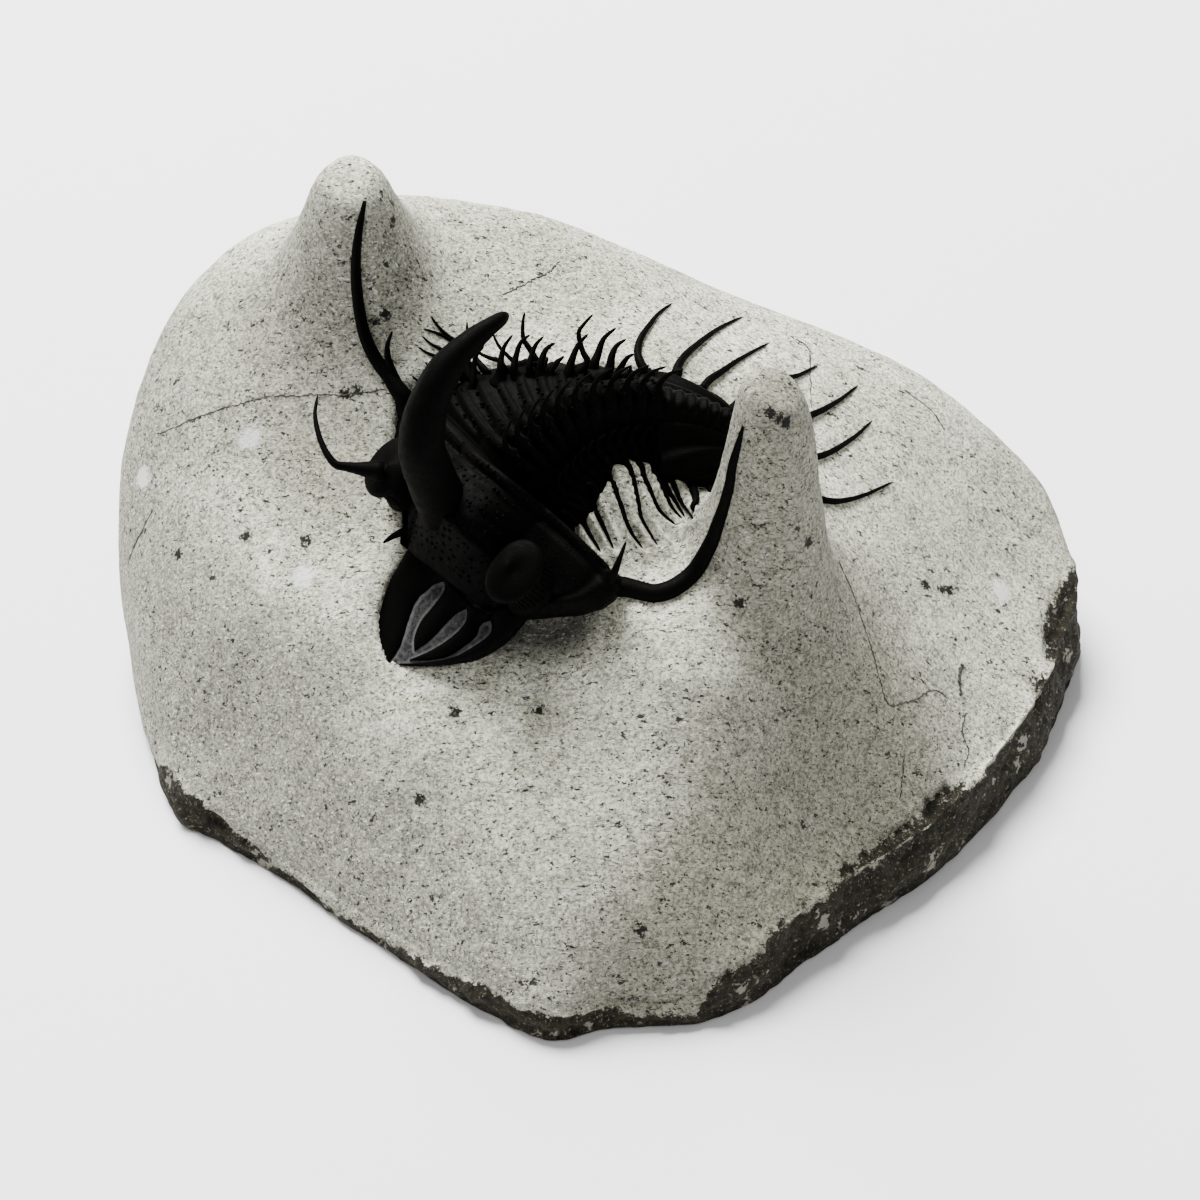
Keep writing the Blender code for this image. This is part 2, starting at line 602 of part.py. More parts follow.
def smooth_value(s, stations, values):
    """Catmull-Rom value at s through unevenly spaced stations."""
    slopes = np.gradient(values, stations)
    i = int(np.clip(np.searchsorted(stations, s) - 1, 0, len(stations) - 2))
    width = stations[i + 1] - stations[i]
    t = (s - stations[i]) / width
    ahead = 3 * t ** 2 - 2 * t ** 3
    leaving = (t ** 3 - 2 * t ** 2 + t) * width * slopes[i]
    arriving = (t ** 3 - t ** 2) * width * slopes[i + 1]
    return (1 - ahead) * values[i] + ahead * values[i + 1] + leaving + arriving


def thorax_half_width(s, u):
    """Width across the segment at s, from its middle to the side that u is on."""
    return np.interp(s, THORAX_STATIONS, THORAX_NEAR if u > 0 else THORAX_FAR)


def thorax_height(u, swell):
    """Height across a segment: round axis, then the drooping side lobes."""
    axis = AXIS_HEIGHT * math.exp(-abs(u / AXIS_HALF_WIDTH) ** 3)
    return (axis + SIDE_HEIGHT - SIDE_DROOP * abs(u) ** 2.4) * swell


def thorax_shell(grow):
    """The jointed middle of the body, with a dip between each two segments."""
    rings = []
    for k in range(SEGMENTS * 2 + 1):
        step = k / 2
        swell = 1.0 if k % 2 else JOINT_SWELL
        s = THORAX_START + (THORAX_END - THORAX_START) * step / SEGMENTS
        s += grow * (2 * step / SEGMENTS - 1)
        rings.append(thorax_ring(s, swell, grow))
    return loft(rings, upper=len(BACK_STEPS))


def thorax_ring(s, swell, grow):
    """One section across the body, its ends swept back."""
    ring = []
    for u in BACK_STEPS:
        half = thorax_half_width(s, u) + grow
        frame = body_frame(s + THORAX_SWEEP * u * u)
        ring.append(frame_point(frame, half * u, 0, thorax_height(u, swell) + grow))
    for u in BACK_UNDER_STEPS:
        half = thorax_half_width(s, u) + grow
        frame = body_frame(s + THORAX_SWEEP * u * u)
        sag = UNDER_DROOP * SIDE_DROOP * u * u
        ring.append(frame_point(frame, half * u, 0, -SHELL_SKIRT - sag - grow))
    return ring


def tail_half_width(u):
    """The tail shield's greatest width to the side that u is on."""
    return TAIL_WIDTHS["near" if u > 0 else "far"]


def tail_shell(grow):
    """The domed half-round tail shield."""
    rings = []
    for v in np.linspace(0, 1, TAIL_RINGS):
        s = TAIL_START + (TAIL_LENGTH + grow) * v - grow * (1 - v)
        taper = math.sqrt(max(1 - (0.96 * v) ** 2.6, 0))
        dome = math.sqrt(max(1 - (0.93 * v) ** 3, 0))
        ring = []
        for u in TAIL_STEPS:
            axis = TAIL_AXIS_RISE * math.exp(-(u / TAIL_AXIS_HALF_WIDTH) ** 2)
            lift = (TAIL_EDGE_HEIGHT + TAIL_VAULT * (1 - u * u) + axis) * dome
            frame = body_frame(s + THORAX_SWEEP * u * u * (1 - v))
            half = (tail_half_width(u) + grow) * taper
            ring.append(frame_point(frame, half * u, 0, lift - TAIL_DROOP * u * u + grow))
        for u in TAIL_UNDER_STEPS:
            frame = body_frame(s + THORAX_SWEEP * u * u * (1 - v))
            under = -SHELL_SKIRT - TAIL_DROOP * u * u - grow
            half = (tail_half_width(u) + grow) * taper
            ring.append(frame_point(frame, half * u, 0, under))
        rings.append(ring)
    return loft(rings, upper=len(TAIL_STEPS))


# ---------------------------------------------------------------------- spines
def off_stone(stone, point, radius):
    """The point, moved out until a spine of this radius clears the stone."""
    near, normal, _, _ = stone.find_nearest(Vector(point))
    inside = (Vector(point) - near).dot(normal)
    if inside < radius + GAP:
        return np.array(near + normal * (radius + GAP))
    return np.array(point)


def spine(stone, points, radii, sides=5, rings=5, lift=0.0):
    """Tapered spine that starts inside its shield and passes over the stone."""
    path = smooth_path(points, rings)
    size = np.interp(np.linspace(0, 1, rings), np.linspace(0, 1, len(radii)), radii)
    for _ in range(3):
        for k in range(1, rings):
            path[k] = off_stone(stone, path[k], size[k] + lift)
        path[1:-1] += 0.25 * (path[:-2] + path[2:] - 2 * path[1:-1])
    for k in range(1, rings):
        path[k] = off_stone(stone, path[k], size[k] + lift)
    return tube(path, radii, sides=sides, rings=rings)


def thorax_spines(stone):
    """Every segment's axial, side-lobe and tip spines, in groups that don't touch."""
    rows = [[] for _ in range(4)]
    for k in range(SEGMENTS):
        s = THORAX_START + (THORAX_END - THORAX_START) * (k + 0.5) / SEGMENTS
        frame = body_frame(s)
        near = thorax_half_width(s, 1)
        far = thorax_half_width(s, -1)
        size = 1 - SPINE_SHRINK * k
        rows[0].append(upright(frame, 0.0, thorax_height(0, 1.0), AXIAL_SPINE, size))
        top = thorax_height(SIDE_ROW, 1.0)
        rows[1].append(far_upright(frame_point(frame, -far * SIDE_ROW, 0, top), FAR_ROW[k]))
        rows[2 + k % 2].append(upright(frame, near * SIDE_ROW, top, NEAR_SPINE, size))
        if k >= TUCKED_SEGMENTS:
            rows.append([far_tip(stone, s, far, k)])
            rows.append([near_tip(stone, s, near, k)])
    return rows


def upright(frame, a, top, shape, size):
    """Spine standing on the back and curving backwards."""
    length = shape[0] * size
    radius = shape[1]
    points = [frame_point(frame, a, 0, top - ROOT_DEPTH)]
    for back, rise in UPRIGHT_PATH:
        points.append(frame_point(frame, a, back * length, top + rise * length))
    radii = (radius * 1.5, radius, radius * 0.7, radius * 0.4)
    return tube(points, radii, rings=4, up=frame[1])


def far_upright(base, reach):
    """Spine that stands up and away from the far side lobe and bends to the tail."""
    along, rise = reach
    lift = np.array(UP_AND_AWAY)
    points = [base - ROOT_DEPTH * lift, base + 0.45 * rise * lift + (0.15 * along, 0, 0),
              base + 0.8 * rise * lift + (0.55 * along, 0, 0), base + rise * lift + (along, 0, 0)]
    radii = (FAR_ROW_RADIUS * 1.8, FAR_ROW_RADIUS, FAR_ROW_RADIUS * 0.7, FAR_ROW_RADIUS * 0.4)
    return tube(points, radii, rings=4, up=(1, 0, 0))


def far_tip(stone, s, half, k):
    """Spine running out over the stone from the far end of a side lobe."""
    length, shrink, ahead, drop = FAR_TIP
    length *= 1 - shrink * k
    low = TIP_ROOT
    base = body_frame(s + THORAX_SWEEP)
    points = [frame_point(base, ROOT_DEPTH - half, 0, low)]
    for share in (0.33, 0.66, 1.0):
        reach = length * share
        points.append(frame_point(base, -half - reach, ahead * reach, low - drop * reach))
    return spine(stone, points, TIP_RADII)


def near_tip(stone, s, half, k):
    """Spine curving down over the stone from the near end of a side lobe."""
    base = body_frame(s + THORAX_SWEEP)
    root = frame_point(base, half - ROOT_DEPTH, 0, TIP_ROOT)
    rim = frame_point(base, half + 0.8, 0, TIP_ROOT - 0.3)
    tip = smooth_path(NEAR_TIPS, SEGMENTS)[k]
    middle = 0.5 * (rim + tip) + (0, 0, 0.5)
    return spine(stone, [root, rim, middle, tip], TIP_RADII, lift=NEAR_TIP_LIFT)


# --------------------------------------------------------------- Blender objects
def make_object(name, shape, collection):
    """A closed mesh object, with the block's middle moved to the origin."""
    mesh = bmesh.new()
    corners = [mesh.verts.new((Vector(p) - MIDDLE) * MM) for p in shape[0]]
    for polygon in shape[1]:
        mesh.faces.new([corners[i] for i in polygon])
    mesh.normal_update()
    crooked = [f for f in mesh.faces if len(f.verts) > 4 and not lies_flat(f)]
    bmesh.ops.triangulate(mesh, faces=crooked)
    bmesh.ops.recalc_face_normals(mesh, faces=mesh.faces)
    if mesh.calc_volume(signed=True) < 0:
        bmesh.ops.reverse_faces(mesh, faces=mesh.faces)
    data = bpy.data.meshes.new(name)
    mesh.to_mesh(data)
    mesh.free()
    thing = bpy.data.objects.new(name, data)
    collection.objects.link(thing)
    return thing


def lies_flat(face):
    """Whether a polygon's corners share one plane."""
    centre = face.calc_center_median()
    return all(abs((v.co - centre).dot(face.normal)) < 1e-7 for v in face.verts)


def add_boolean(thing, cutter, operation):
    """Join or cut with a hidden cutter."""
    cutter.hide_render = True
    cutter.display_type = "WIRE"
    cut = thing.modifiers.new(cutter.name, "BOOLEAN")
    cut.object = cutter
    cut.operation = operation
    cut.solver = "EXACT"
    return cut


def make_collection(name):
    """A new collection in the scene."""
    made = bpy.data.collections.new(name)
    bpy.context.scene.collection.children.link(made)
    return made


def paint(thing, colour, roughness):
    """The object's own plain material."""
    material = bpy.data.materials.new(thing.name + "_material")
    material.use_nodes = True
    shader = material.node_tree.nodes["Principled BSDF"]
    shader.inputs["Base Color"].default_value = (*colour, 1)
    shader.inputs["Roughness"].default_value = roughness
    shader.inputs["Metallic"].default_value = 0
    thing.data.materials.append(material)


def head_spines(stone):
    """The two long cheek spines and the small spines of the head."""
    spines = [spine(stone, GENAL_NEAR, GENAL_NEAR_RADII, sides=6, rings=16),
              spine(stone, GENAL_FAR, GENAL_FAR_RADII, sides=6, rings=14)]
    for path in HEAD_SPINES:
        spines.append(spine(stone, path, SMALL_SPINE_RADII, rings=len(path) + 1))
    return spines


def rooted(shell, point):
    """A point just inside a shield, under its surface nearest to the given point."""
    near = np.array(shell.find_nearest(Vector(point))[0])
    middle = body_frame(TAIL_START + 0.4 * TAIL_LENGTH)[0]
    return near + ROOT_DEPTH * unit(middle - near)


def tail_spines(stone):
    """The curved spines round the tail shield's edge."""
    spines = []
    shell = bvh(tail_shell(0.0))
    for path in TAIL_SPINES:
        path = (rooted(shell, path[0]), *path[1:])
        spines.append(spine(stone, path, TAIL_SPINE_RADII, rings=8))
    return spines


for old in list(bpy.data.objects):
    bpy.data.objects.remove(old)
parts = make_collection(OBJECT_NAME)
cutters = make_collection("cutters")

collar = [bvh(head_shell(COLLAR)), bvh(thorax_shell(COLLAR)), bvh(tail_shell(COLLAR)),
          bvh(joined(snout_prongs()))]
stone_shape = make_stone(collar)
stone = bvh(stone_shape)
MIDDLE = block_middle(stone_shape[0])
matrix = make_object("matrix", stone_shape, parts)
cephalon = make_object("cephalon", head_shell(0.0), parts)
thorax = make_object("thorax", thorax_shell(0.0), parts)
pygidium = make_object("pygidium", tail_shell(0.0), parts)
head_parts = [head_eye("far", -1), head_eye("near", 1), *snout_prongs(),
              tube(HORN, HORN_RADII, sides=10, rings=10), *head_spines(stone)]
for body, rows in ((cephalon, [[piece] for piece in head_parts]),
                   (thorax, thorax_spines(stone)),
                   (pygidium, [tail_spines(stone)])):
    for row in rows:
        add_boolean(body, make_object(body.name + "_spines", joined(row), cutters), "UNION")
sockets = [head_shell(GAP), thorax_shell(GAP), tail_shell(GAP), *snout_prongs(GAP)]
for shape in sockets:
    add_boolean(matrix, make_object("socket", shape, cutters), "DIFFERENCE")
paint(matrix, LIMESTONE, STONE_ROUGHNESS)
for body in (cephalon, thorax, pygidium):
    paint(body, FOSSIL_BLACK, FOSSIL_ROUGHNESS)
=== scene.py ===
"""Spiny trilobite fossil on its carved limestone block, with a stage and a camera.

Lengths are in millimetres in the block's drawing frame. They become metres, with the
block's middle on the origin, when a mesh is made. X runs along the block, Y from the
animal's near side to its far side, and Z up.
"""

import math

import bmesh
import bpy
import numpy as np
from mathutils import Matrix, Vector, noise
from mathutils.bvhtree import BVHTree


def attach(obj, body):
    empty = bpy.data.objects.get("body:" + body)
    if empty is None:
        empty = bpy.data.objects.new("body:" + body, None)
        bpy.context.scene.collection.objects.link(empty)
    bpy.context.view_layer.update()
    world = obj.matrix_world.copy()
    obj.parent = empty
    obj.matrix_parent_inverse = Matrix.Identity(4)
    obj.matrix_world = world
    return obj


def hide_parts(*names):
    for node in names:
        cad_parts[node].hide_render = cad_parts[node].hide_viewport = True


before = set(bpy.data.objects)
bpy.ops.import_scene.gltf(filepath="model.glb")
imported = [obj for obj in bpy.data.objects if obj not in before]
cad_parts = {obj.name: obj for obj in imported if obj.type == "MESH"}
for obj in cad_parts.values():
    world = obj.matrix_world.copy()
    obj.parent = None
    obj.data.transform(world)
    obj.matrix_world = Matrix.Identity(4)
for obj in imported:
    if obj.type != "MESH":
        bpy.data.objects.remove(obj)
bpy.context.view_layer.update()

MM = 0.001
MIDDLE = np.array([0.2336, 0.0278, 0.0])
RANDOM = np.random.default_rng(11)

# ------------------------------------------------------------------ limestone
# The block's widest outline: x, y, height of the rim's upper edge, and how far
# the rim and the cut base lie inside the outline.
RIM = [
    (53, 15, 9.5, 0.6, 0), (51.4, 21.5, 11, 0, 1.5), (48.9, 27.3, 12.8, 0, 2.5),
    (43.5, 31.2, 14, 0, 3), (36.5, 34.8, 16, 0, 3), (27, 36.8, 18.5, 0, 3),
    (14, 38.6, 22, 0, 3), (0, 39.9, 27, 0, 3), (-14, 40.1, 31, 0, 3),
    (-27, 39.7, 34, 0, 3), (-38, 38, 33, 0, 3), (-46, 33.5, 28, 0, 3),
    (-51, 26.5, 21, 0, 3), (-52.6, 17.5, 14, 0, 2), (-51.2, 8, 8, 0.2, 1),
    (-48.6, -1, 5.5, 0.8, 0), (-45.3, -10, 3.5, 1, 0), (-40.8, -13.2, 2.5, 0.8, 0),
    (-31.4, -20.2, 2.5, 0.8, 0), (-20.6, -29.4, 3, 0.8, 0), (-12.2, -36, 4, 1, 0),
    (-5, -40.1, 4.5, 1.2, 0), (1, -38.4, 3.5, 1.2, 0), (8, -38, 3, 1.2, 0),
    (13.7, -36.2, 5.5, 1.2, 0), (18.4, -32.7, 7, 1.2, 0), (25.9, -25.6, 7.5, 1.2, 0),
    (34.7, -18.4, 7.5, 1.2, 0), (41.6, -10.2, 8, 1.2, 0), (47.3, -1.5, 8.5, 1.2, 0),
    (51.2, 7.2, 9, 1, 0),
]

# Heights that the stone's top surface passes through: x, y, height.
GROUND = [
    # low front edge
    (-31, -17, 11), (-20, -26, 9), (-10, -34, 9), (0, -35, 10.5),
    # front slope up to the snout
    (-39, -9, 10.5), (-20, -20, 17), (-10, -28, 15), (0, -28, 16),
    (-10, -18, 21.5), (-20, -16, 21), (-31, -9, 20), (0, -19, 22),
    # ridge running down from the right column, and the dark flank beyond it
    (12, -17, 25.5), (9, -24, 19), (5, -32, 13),
    (20, -13, 22), (20, -20, 14), (16, -30, 9.5), (27, -17, 11),
    (31, -8, 16), (38, -4, 12.5),
    # right plateau
    (38, 4, 16), (46, 8, 12), (32, 3, 20), (32, 13, 25), (28, 20, 29),
    (43, 18, 17.5), (37, 22, 24),
    # left flank
    (-46, -4, 13), (-49, 4, 19), (-49, 12, 25), (-48, 21, 33.5), (-44, 28, 41.4),
    (-36, -2, 24.5), (-31, 1, 28), (-39, 9, 30), (-31, 10, 33), (-38, 18, 37),
    # bed of the head
    (-26, 2, 30), (-22, -11, 23.2), (-28, -6, 26), (-21, 1, 30),
    (-13, -12, 24), (-4, -9, 28), (4, -10, 31), (9, -12, 29.5),
    # hollow between the columns
    (0, -3, 33.5), (6, -3, 31), (9, 1, 32), (-9, 3, 34.5), (-2, 8, 38.8),
    (-1.5, 0, 36.4), (1, 3, 38), (4, 4.5, 37.8), (7, 3.5, 36),
    (3, 10, 39.5), (9, 10, 34.5), (-18, 16, 40), (-12, 20, 41), (-3, 22, 41.5),
    (6, 22, 40), (15, 20, 36), (21, 21, 33),
    # far crest
    (-38, 33, 46), (-31, 36, 47.5), (-20, 36, 49.6), (-12, 35, 48.6), (-4, 34, 46.2),
    (4, 33, 42), (15, 30, 36.2), (27, 27, 31), (37, 26, 26.4),
]
GROUND_STIFFNESS = 8.0

COLUMNS = [
    {"at": (-25.8, 25.5), "top": 58.6, "radius": 5.6, "power": 5, "foot": 0.2},
    {"at": (17.2, -2.4), "top": 54.6, "radius": 5.1, "power": 6.5, "foot": 0.18},
]
FOOT_SPREAD = 1.6
FOOT_POWER = 3.5
SHOULDER_POWER = 12.0

# The rock's mesh: sectors round it, rings on top, rings down the wall.
SECTORS = 620
TOP_RINGS = 112
WALL_RINGS = 22
ROCK_CENTRE = np.array([-3.0, 2.0])
# How strongly, and over what share of its radius, mesh rings gather on a column's shaft.
GATHER = 0.72
GATHER_WIDTH = 0.5
WALL_BULGE = 0.15
# The height of the stone left between the near tip spines.
FINGER_HEIGHT = 0.75
# The circle that the animal's shields lie in: middle and radius.
SHIELD_CIRCLE = ((-2, 4), 27)
# The crust depth given to a point well inside the carved face.
DEEP_INSIDE = -5

# Height up to which the natural dark crust is left round the block, by angle in degrees.
CRUST = [
    (-176, 1.4), (-172, 4.7), (-166, 4.6), (-160, 2.8), (-151, 1.3), (-139, 1), (-129, 1.4),
    (-121, 2.5), (-108, 3.2), (-96, 3.5), (-84, 2.3), (-76, 2), (-70, 5.4), (-61, 7), (-47, 7.5),
    (-30, 7.4), (-15, 8.1), (-1, 8.8), (5, 9.2), (11, 10.9), (19, 11.1), (24, 8), (32, 8),
    (44, 9), (70, 13), (90, 17), (109, 19), (122, 17), (135, 18), (144, 14), (153, 9), (162, 3.5),
    (172, 1),
]

# Hairline cracks on the carved surface: x, y.
CRACKS = [
    [(-47, 18.2), (-44.2, 17.3), (-41.5, 16.7), (-38.2, 16.1), (-34.7, 15.8), (-31.8, 15.3),
     (-29, 14.9), (-26, 14.5), (-22.1, 14.4)],
    [(-10.4, 24.6), (-7.4, 26.4), (-5.5, 27.8), (-4.2, 29.4)],
    [(20.4, 29.6), (22.4, 28.6), (22.5, 25.4), (22.4, 19.6)],
    [(32.9, 27.2), (35.9, 25.9), (37.4, 24.4)],
    [(24.6, 0.9), (26.1, -1.2), (28, -5), (29, -7.4), (29.9, -8.9), (32.1, -7.6),
     (34.8, -4.9), (36.8, -4.6)],
    [(31.6, -12.1), (31.4, -13.9), (31.1, -15.6)],
    [(-47.4, 12.4), (-49.1, 11.9), (-50.6, 11.7)],
    [(38.6, -5), (38.1, -6.9), (38.7, -8.5), (38.2, -10.4)],
]
CRACK_RADIUS = 0.1
# A deep dark notch in the right flank: x, y.
NOTCH_RADIUS = 0.22
NOTCH = [(38.3, -0.3), (37.9, -2), (38.1, -3.7)]

# Darkened patches, partly brown stain and partly painted shade: a plan line, the distances from it
# at which a patch starts and ends to fade, and its strength.
DARK_PATCHES = (
    # down the lower right flank: a browner stain, darkened further as painted shade for the steep
    # flank and the right column's shadow
    (((22, -5), (24.5, -9.5), (27.5, -14), (23.5, -22), (16, -31), (9, -37)), (4.5, 16), 1),
    # at the left column's foot
    (((-34, 21), (-31.5, 14), (-28, 8)), (1, 11), 0.6),
    # painted shade on the right column's upper front
    (((15.5, -4), (19.5, -3.5)), (1.8, 5.2), 0.5),
)
# The painted contact shadow on the stone under the near cheek: its line's share of the head's
# half-width, its span along the head, and the distance over which it fades.
CHEEK_SHADOW_OUT = 0.85
CHEEK_SHADOW_SPAN = (0.36, 0.85)
CHEEK_SHADOW_FADE = 4.6

# Stains, pits and pale bruises on the carved surface: x, y, z.
DARK_SPOTS = (
    (17.4, -5.2, 53.3), (16.6, -5.1, 53.9), (18.2, -5.2, 52.7), (20.9, -6.3, 37.6),
    (14.1, -9.5, 31.9), (-6.2, -16, 23.3), (36.3, 6.1, 18.4), (37.2, 6.4, 17.9),
    (-23.3, 18.6, 45.1), (-22.2, 19.2, 45.5), (-25.2, 14.6, 39.1), (-26.5, 14.6, 38.8),
    (-36.8, 4.5, 28), (-30.4, 2.6, 29.2), (-44.4, 6.8, 23.1), (-21.3, 23.9, 54.2),
    (-14.7, -15.3, 22.3), (34.4, 5.6, 19.7), (4, -33.8, 10), (-18.3, -21.4, 15.7),
)
PALE_SPOTS = ((-36.6, 13, 34), (-30.7, -1, 27.4), (-48.8, 16.1, 25.4), (43.3, 10.2, 14.4))

# ---------------------------------------------------------------- the animal
HEAD_AT = (-8.4, 2.6, 36)
HEAD_AHEAD = (-0.607, -0.562, -0.562)
HEAD_SIDE = (0.711, -0.700, -0.067)
HEAD_LENGTH = 12.0
# The far cheek's rear corner is swept back; the near one is drawn forward.
HEAD_SWEEP = {"far": (2.2, 2.2), "near": (-1.7, 3.4)}
HEAD_SKIRT = 1.6
HEAD_STATIONS = (0, 0.15, 0.3, 0.45, 0.6, 0.75, 0.9, 1)
HEAD_FAR = (16.4, 16.6, 16.2, 15, 12.7, 10.1, 8, 7.2)
HEAD_NEAR = (15.7, 16, 15.5, 14.2, 12.3, 10.3, 8.5, 7.3)
EYE_AT = {"far": (9.6, 5.8), "near": (8.8, 6.6)}
HORN = ((-15.6, -2.2, 38), (-17.4, -3.4, 46), (-17.5, -2.8, 49.6), (-16.6, -1.4, 52.7),
        (-15.1, 0.2, 55), (-13.1, 1.8, 56.6), (-10.9, 3.4, 57.5), (-9.1, 5, 57.8))
HORN_RADII = (2.7, 2.5, 2.4, 2.15, 1.8, 1.35, 0.95, 0.6)

# Each snout prong's two edges in the head's plane: sideways and ahead, root to tip.
PRONG_EDGES = [
    ([(-6.1, 9.8), (-5.8, 12.4), (-5.3, 15.2), (-4.6, 17.2), (-3.6, 19.1), (-1.9, 20.7),
      (0.1, 21.8)],
     [(0.4, 11.6), (-0.7, 12.7), (-1.3, 15.2), (-0.7, 17.2), (0, 19.1), (0.3, 20.6), (0.3, 21.8)]),
    ([(-0.8, 11.4), (0.4, 12.4), (0.5, 14.6), (0.4, 16.3), (0.8, 17.9), (1.4, 18.8), (1.9, 19.3)],
     [(4.4, 12), (3.4, 13.4), (3, 14.9), (2.8, 16.6), (2.5, 17.9), (2.1, 18.8), (1.9, 19.3)]),
    ([(3.2, 12.2), (4.5, 13.3), (4.6, 14.8), (4.1, 16.6), (3.3, 18.3), (2.6, 19.4), (2, 20.3)],
     [(7.2, 11.6), (6.3, 13), (6.6, 14.3), (6, 16.3), (5.2, 17.8), (3.7, 19.2), (2.1, 20.3)]),
    ([(6.2, 11.8), (7.4, 12.6), (7.6, 13.6), (6.8, 15.7), (5.7, 17.6), (3.7, 19.5), (1.3, 21.3)],
     [(9.7, 8.1), (9.8, 10.3), (9.5, 13.1), (8.2, 15.9), (6.2, 17.9), (4.1, 19.6), (1.3, 21.3)]),
]
PRONG_THICKNESS = (1.9, 1.7, 1.4, 1.2, 0.95, 0.6, 0.2)

SEGMENTS = 11
THORAX_START = 1.4
THORAX_END = 17.6
THORAX_SWEEP = 1.6
SEGMENT_LENGTH = (THORAX_END - THORAX_START) / SEGMENTS
SEGMENT_PHASES = (0, 0.12, 0.25, 0.38, 0.5, 0.65, 0.8, 0.93)
# Half-widths to the far side and, where stone covers the lobes' ends, the near side.
THORAX_STATIONS = (0, 2, 5, 8, 11, 14, 17, 19.5)
THORAX_FAR = (15, 14.6, 13.1, 10.8, 9.3, 8.4, 7.8, 7.6)
THORAX_NEAR = (8.2, 7.7, 6.9, 6, 5.1, 4.6, 4.9, 5.6)
# How far the first segment reaches forward under the head: middle, and more at the sides.
THORAX_TUCK = (1.6, 3.4)
AXIS_HEIGHT = 3.2
AXIS_HALF_WIDTH = 0.36
SIDE_HEIGHT = 2.6
SIDE_DROOP = 3.2
SHELL_SKIRT = 1.2
# The undersides of the thorax and the tail: shares of the half-width from near to far,
# and how much narrower than the top they are.
UNDERSIDE = np.array([1, 0.6, 0.2, -0.2, -0.6, -1])
UNDER_WIDTH = 0.96
BODY_ROWS = (
    (-2, -9.6, 1.5, 34.9, 0.711, -0.700, -0.067), (0, -8.4, 2.6, 36, 0.711, -0.700, -0.067),
    (5, -5.3, 5.2, 38.4, 0.65, -0.75, -0.12), (10, -1.8, 7.2, 39.8, 0.52, -0.84, -0.18),
    (16, 3.4, 8.8, 39.6, 0.36, -0.91, -0.2), (21, 8, 9.2, 38.2, 0.27, -0.94, -0.2),
    (26, 12.3, 9.4, 35.8, 0.22, -0.95, -0.2), (31, 16, 9.6, 32.8, 0.2, -0.96, -0.2),
)
TAIL_START = 17.3
TAIL_LENGTH = 12.4
TAIL_FAR = 7.6
TAIL_NEAR = 5.9
TAIL_DROOP = 1.0

HEAD_SPINES = (
    ((-22, 1.4, 40), (-25.4, 1.2, 40.8), (-26.9, 1.3, 41.3), (-28.2, 3.2, 42.4),
     (-28.9, 5.9, 43.5), (-28.7, 8.1, 44.4)),
    ((-18, 1.8, 32.2), (-20.8, 1.2, 31.4), (-22.3, 0.3, 31)),
    ((0.7, -9, 33.4), (1.6, -9, 36.5), (2.6, -7.2, 38.5)),
    ((-19.6, 13.2, 37.6), (-21.6, 15.4, 41.4), (-22, 16.3, 43.5), (-21.5, 17.9, 44.5)),
)
GENAL_NEAR = ((-0.8, -7.8, 34.4), (1.4, -7.4, 33), (3, -7.4, 32.2), (4.5, -7.9, 32.1),
              (5.7, -8.1, 32.1), (7.1, -7.8, 32.2), (8.3, -7.1, 32.6), (9.8, -6.2, 33.4),
              (10.7, -5.6, 34.8), (11.5, -5.4, 36.8), (12.1, -5.2, 39.5), (12.6, -5.2, 41.8),
              (13, -5.1, 44.5), (13.2, -4.9, 46.8), (13.7, -4.9, 49.5), (14, -4.7, 51.7))
GENAL_NEAR_RADII = (1.2, 1.15, 1.02, 0.98, 0.98, 0.98, 0.95, 0.9, 0.86, 0.78, 0.68, 0.6, 0.55,
                    0.48, 0.36, 0.14)
GENAL_FAR = ((-19, 12, 37), (-20.2, 13.4, 38.9), (-21.8, 15.2, 40.4), (-23.3, 16.7, 41.8),
             (-24.4, 18, 44), (-24.9, 19.1, 46.7), (-25.1, 20, 49.6), (-25, 20.9, 52.4),
             (-24.6, 21.8, 55.1), (-24, 23.2, 57.4))
GENAL_FAR_RADII = (1.5, 1.05, 0.76, 0.7, 0.66, 0.62, 0.57, 0.5, 0.4, 0.2)
# Tip spines of the side lobes, laid on the stone: near, then far.
NEAR_TIPS = (
    ((-3.5, 0.3, 36), (-2.3, -0.4, 35.9), (-1.1, -2.1, 34.7), (0.1, -3.6, 33.5)),
    ((-2, 1.8, 37.3), (-1, 0.6, 36.9), (0.3, -1.5, 35.2), (1.4, -3.3, 33.6)),
    ((-0.4, 4.2, 38.7), (0.7, 3.4, 38.5), (1.8, 0.9, 36.8), (2.9, -1.3, 34.8), (4.4, -2.8, 33.2)),
    ((1.3, 5.9, 39.2), (2.4, 4.5, 38.7), (3.4, 2.7, 37.6), (4.1, -0.1, 35.3), (5.9, -2.3, 33.1)),
    ((2.9, 6.4, 39.1), (3.9, 4.5, 38.4), (4.7, 2.6, 37.1), (5.9, 0.8, 35.4), (7.8, -0.4, 34.2)),
    ((4.1, 6.8, 38.8), (5.1, 4.9, 38), (6.2, 2.9, 36.8), (7.1, 1.4, 35.4), (8.4, 0.2, 34.5)),
    ((5.3, 6.6, 38.1), (6, 4.6, 37.5), (6.8, 2.8, 36.5), (7.8, 1.6, 35.4), (8.7, 0.3, 34.6)),
    ((6.4, 5.5, 37.5), (7.2, 3.6, 36.7), (8.2, 2, 35.4), (9.5, -0.6, 35.2)),
)
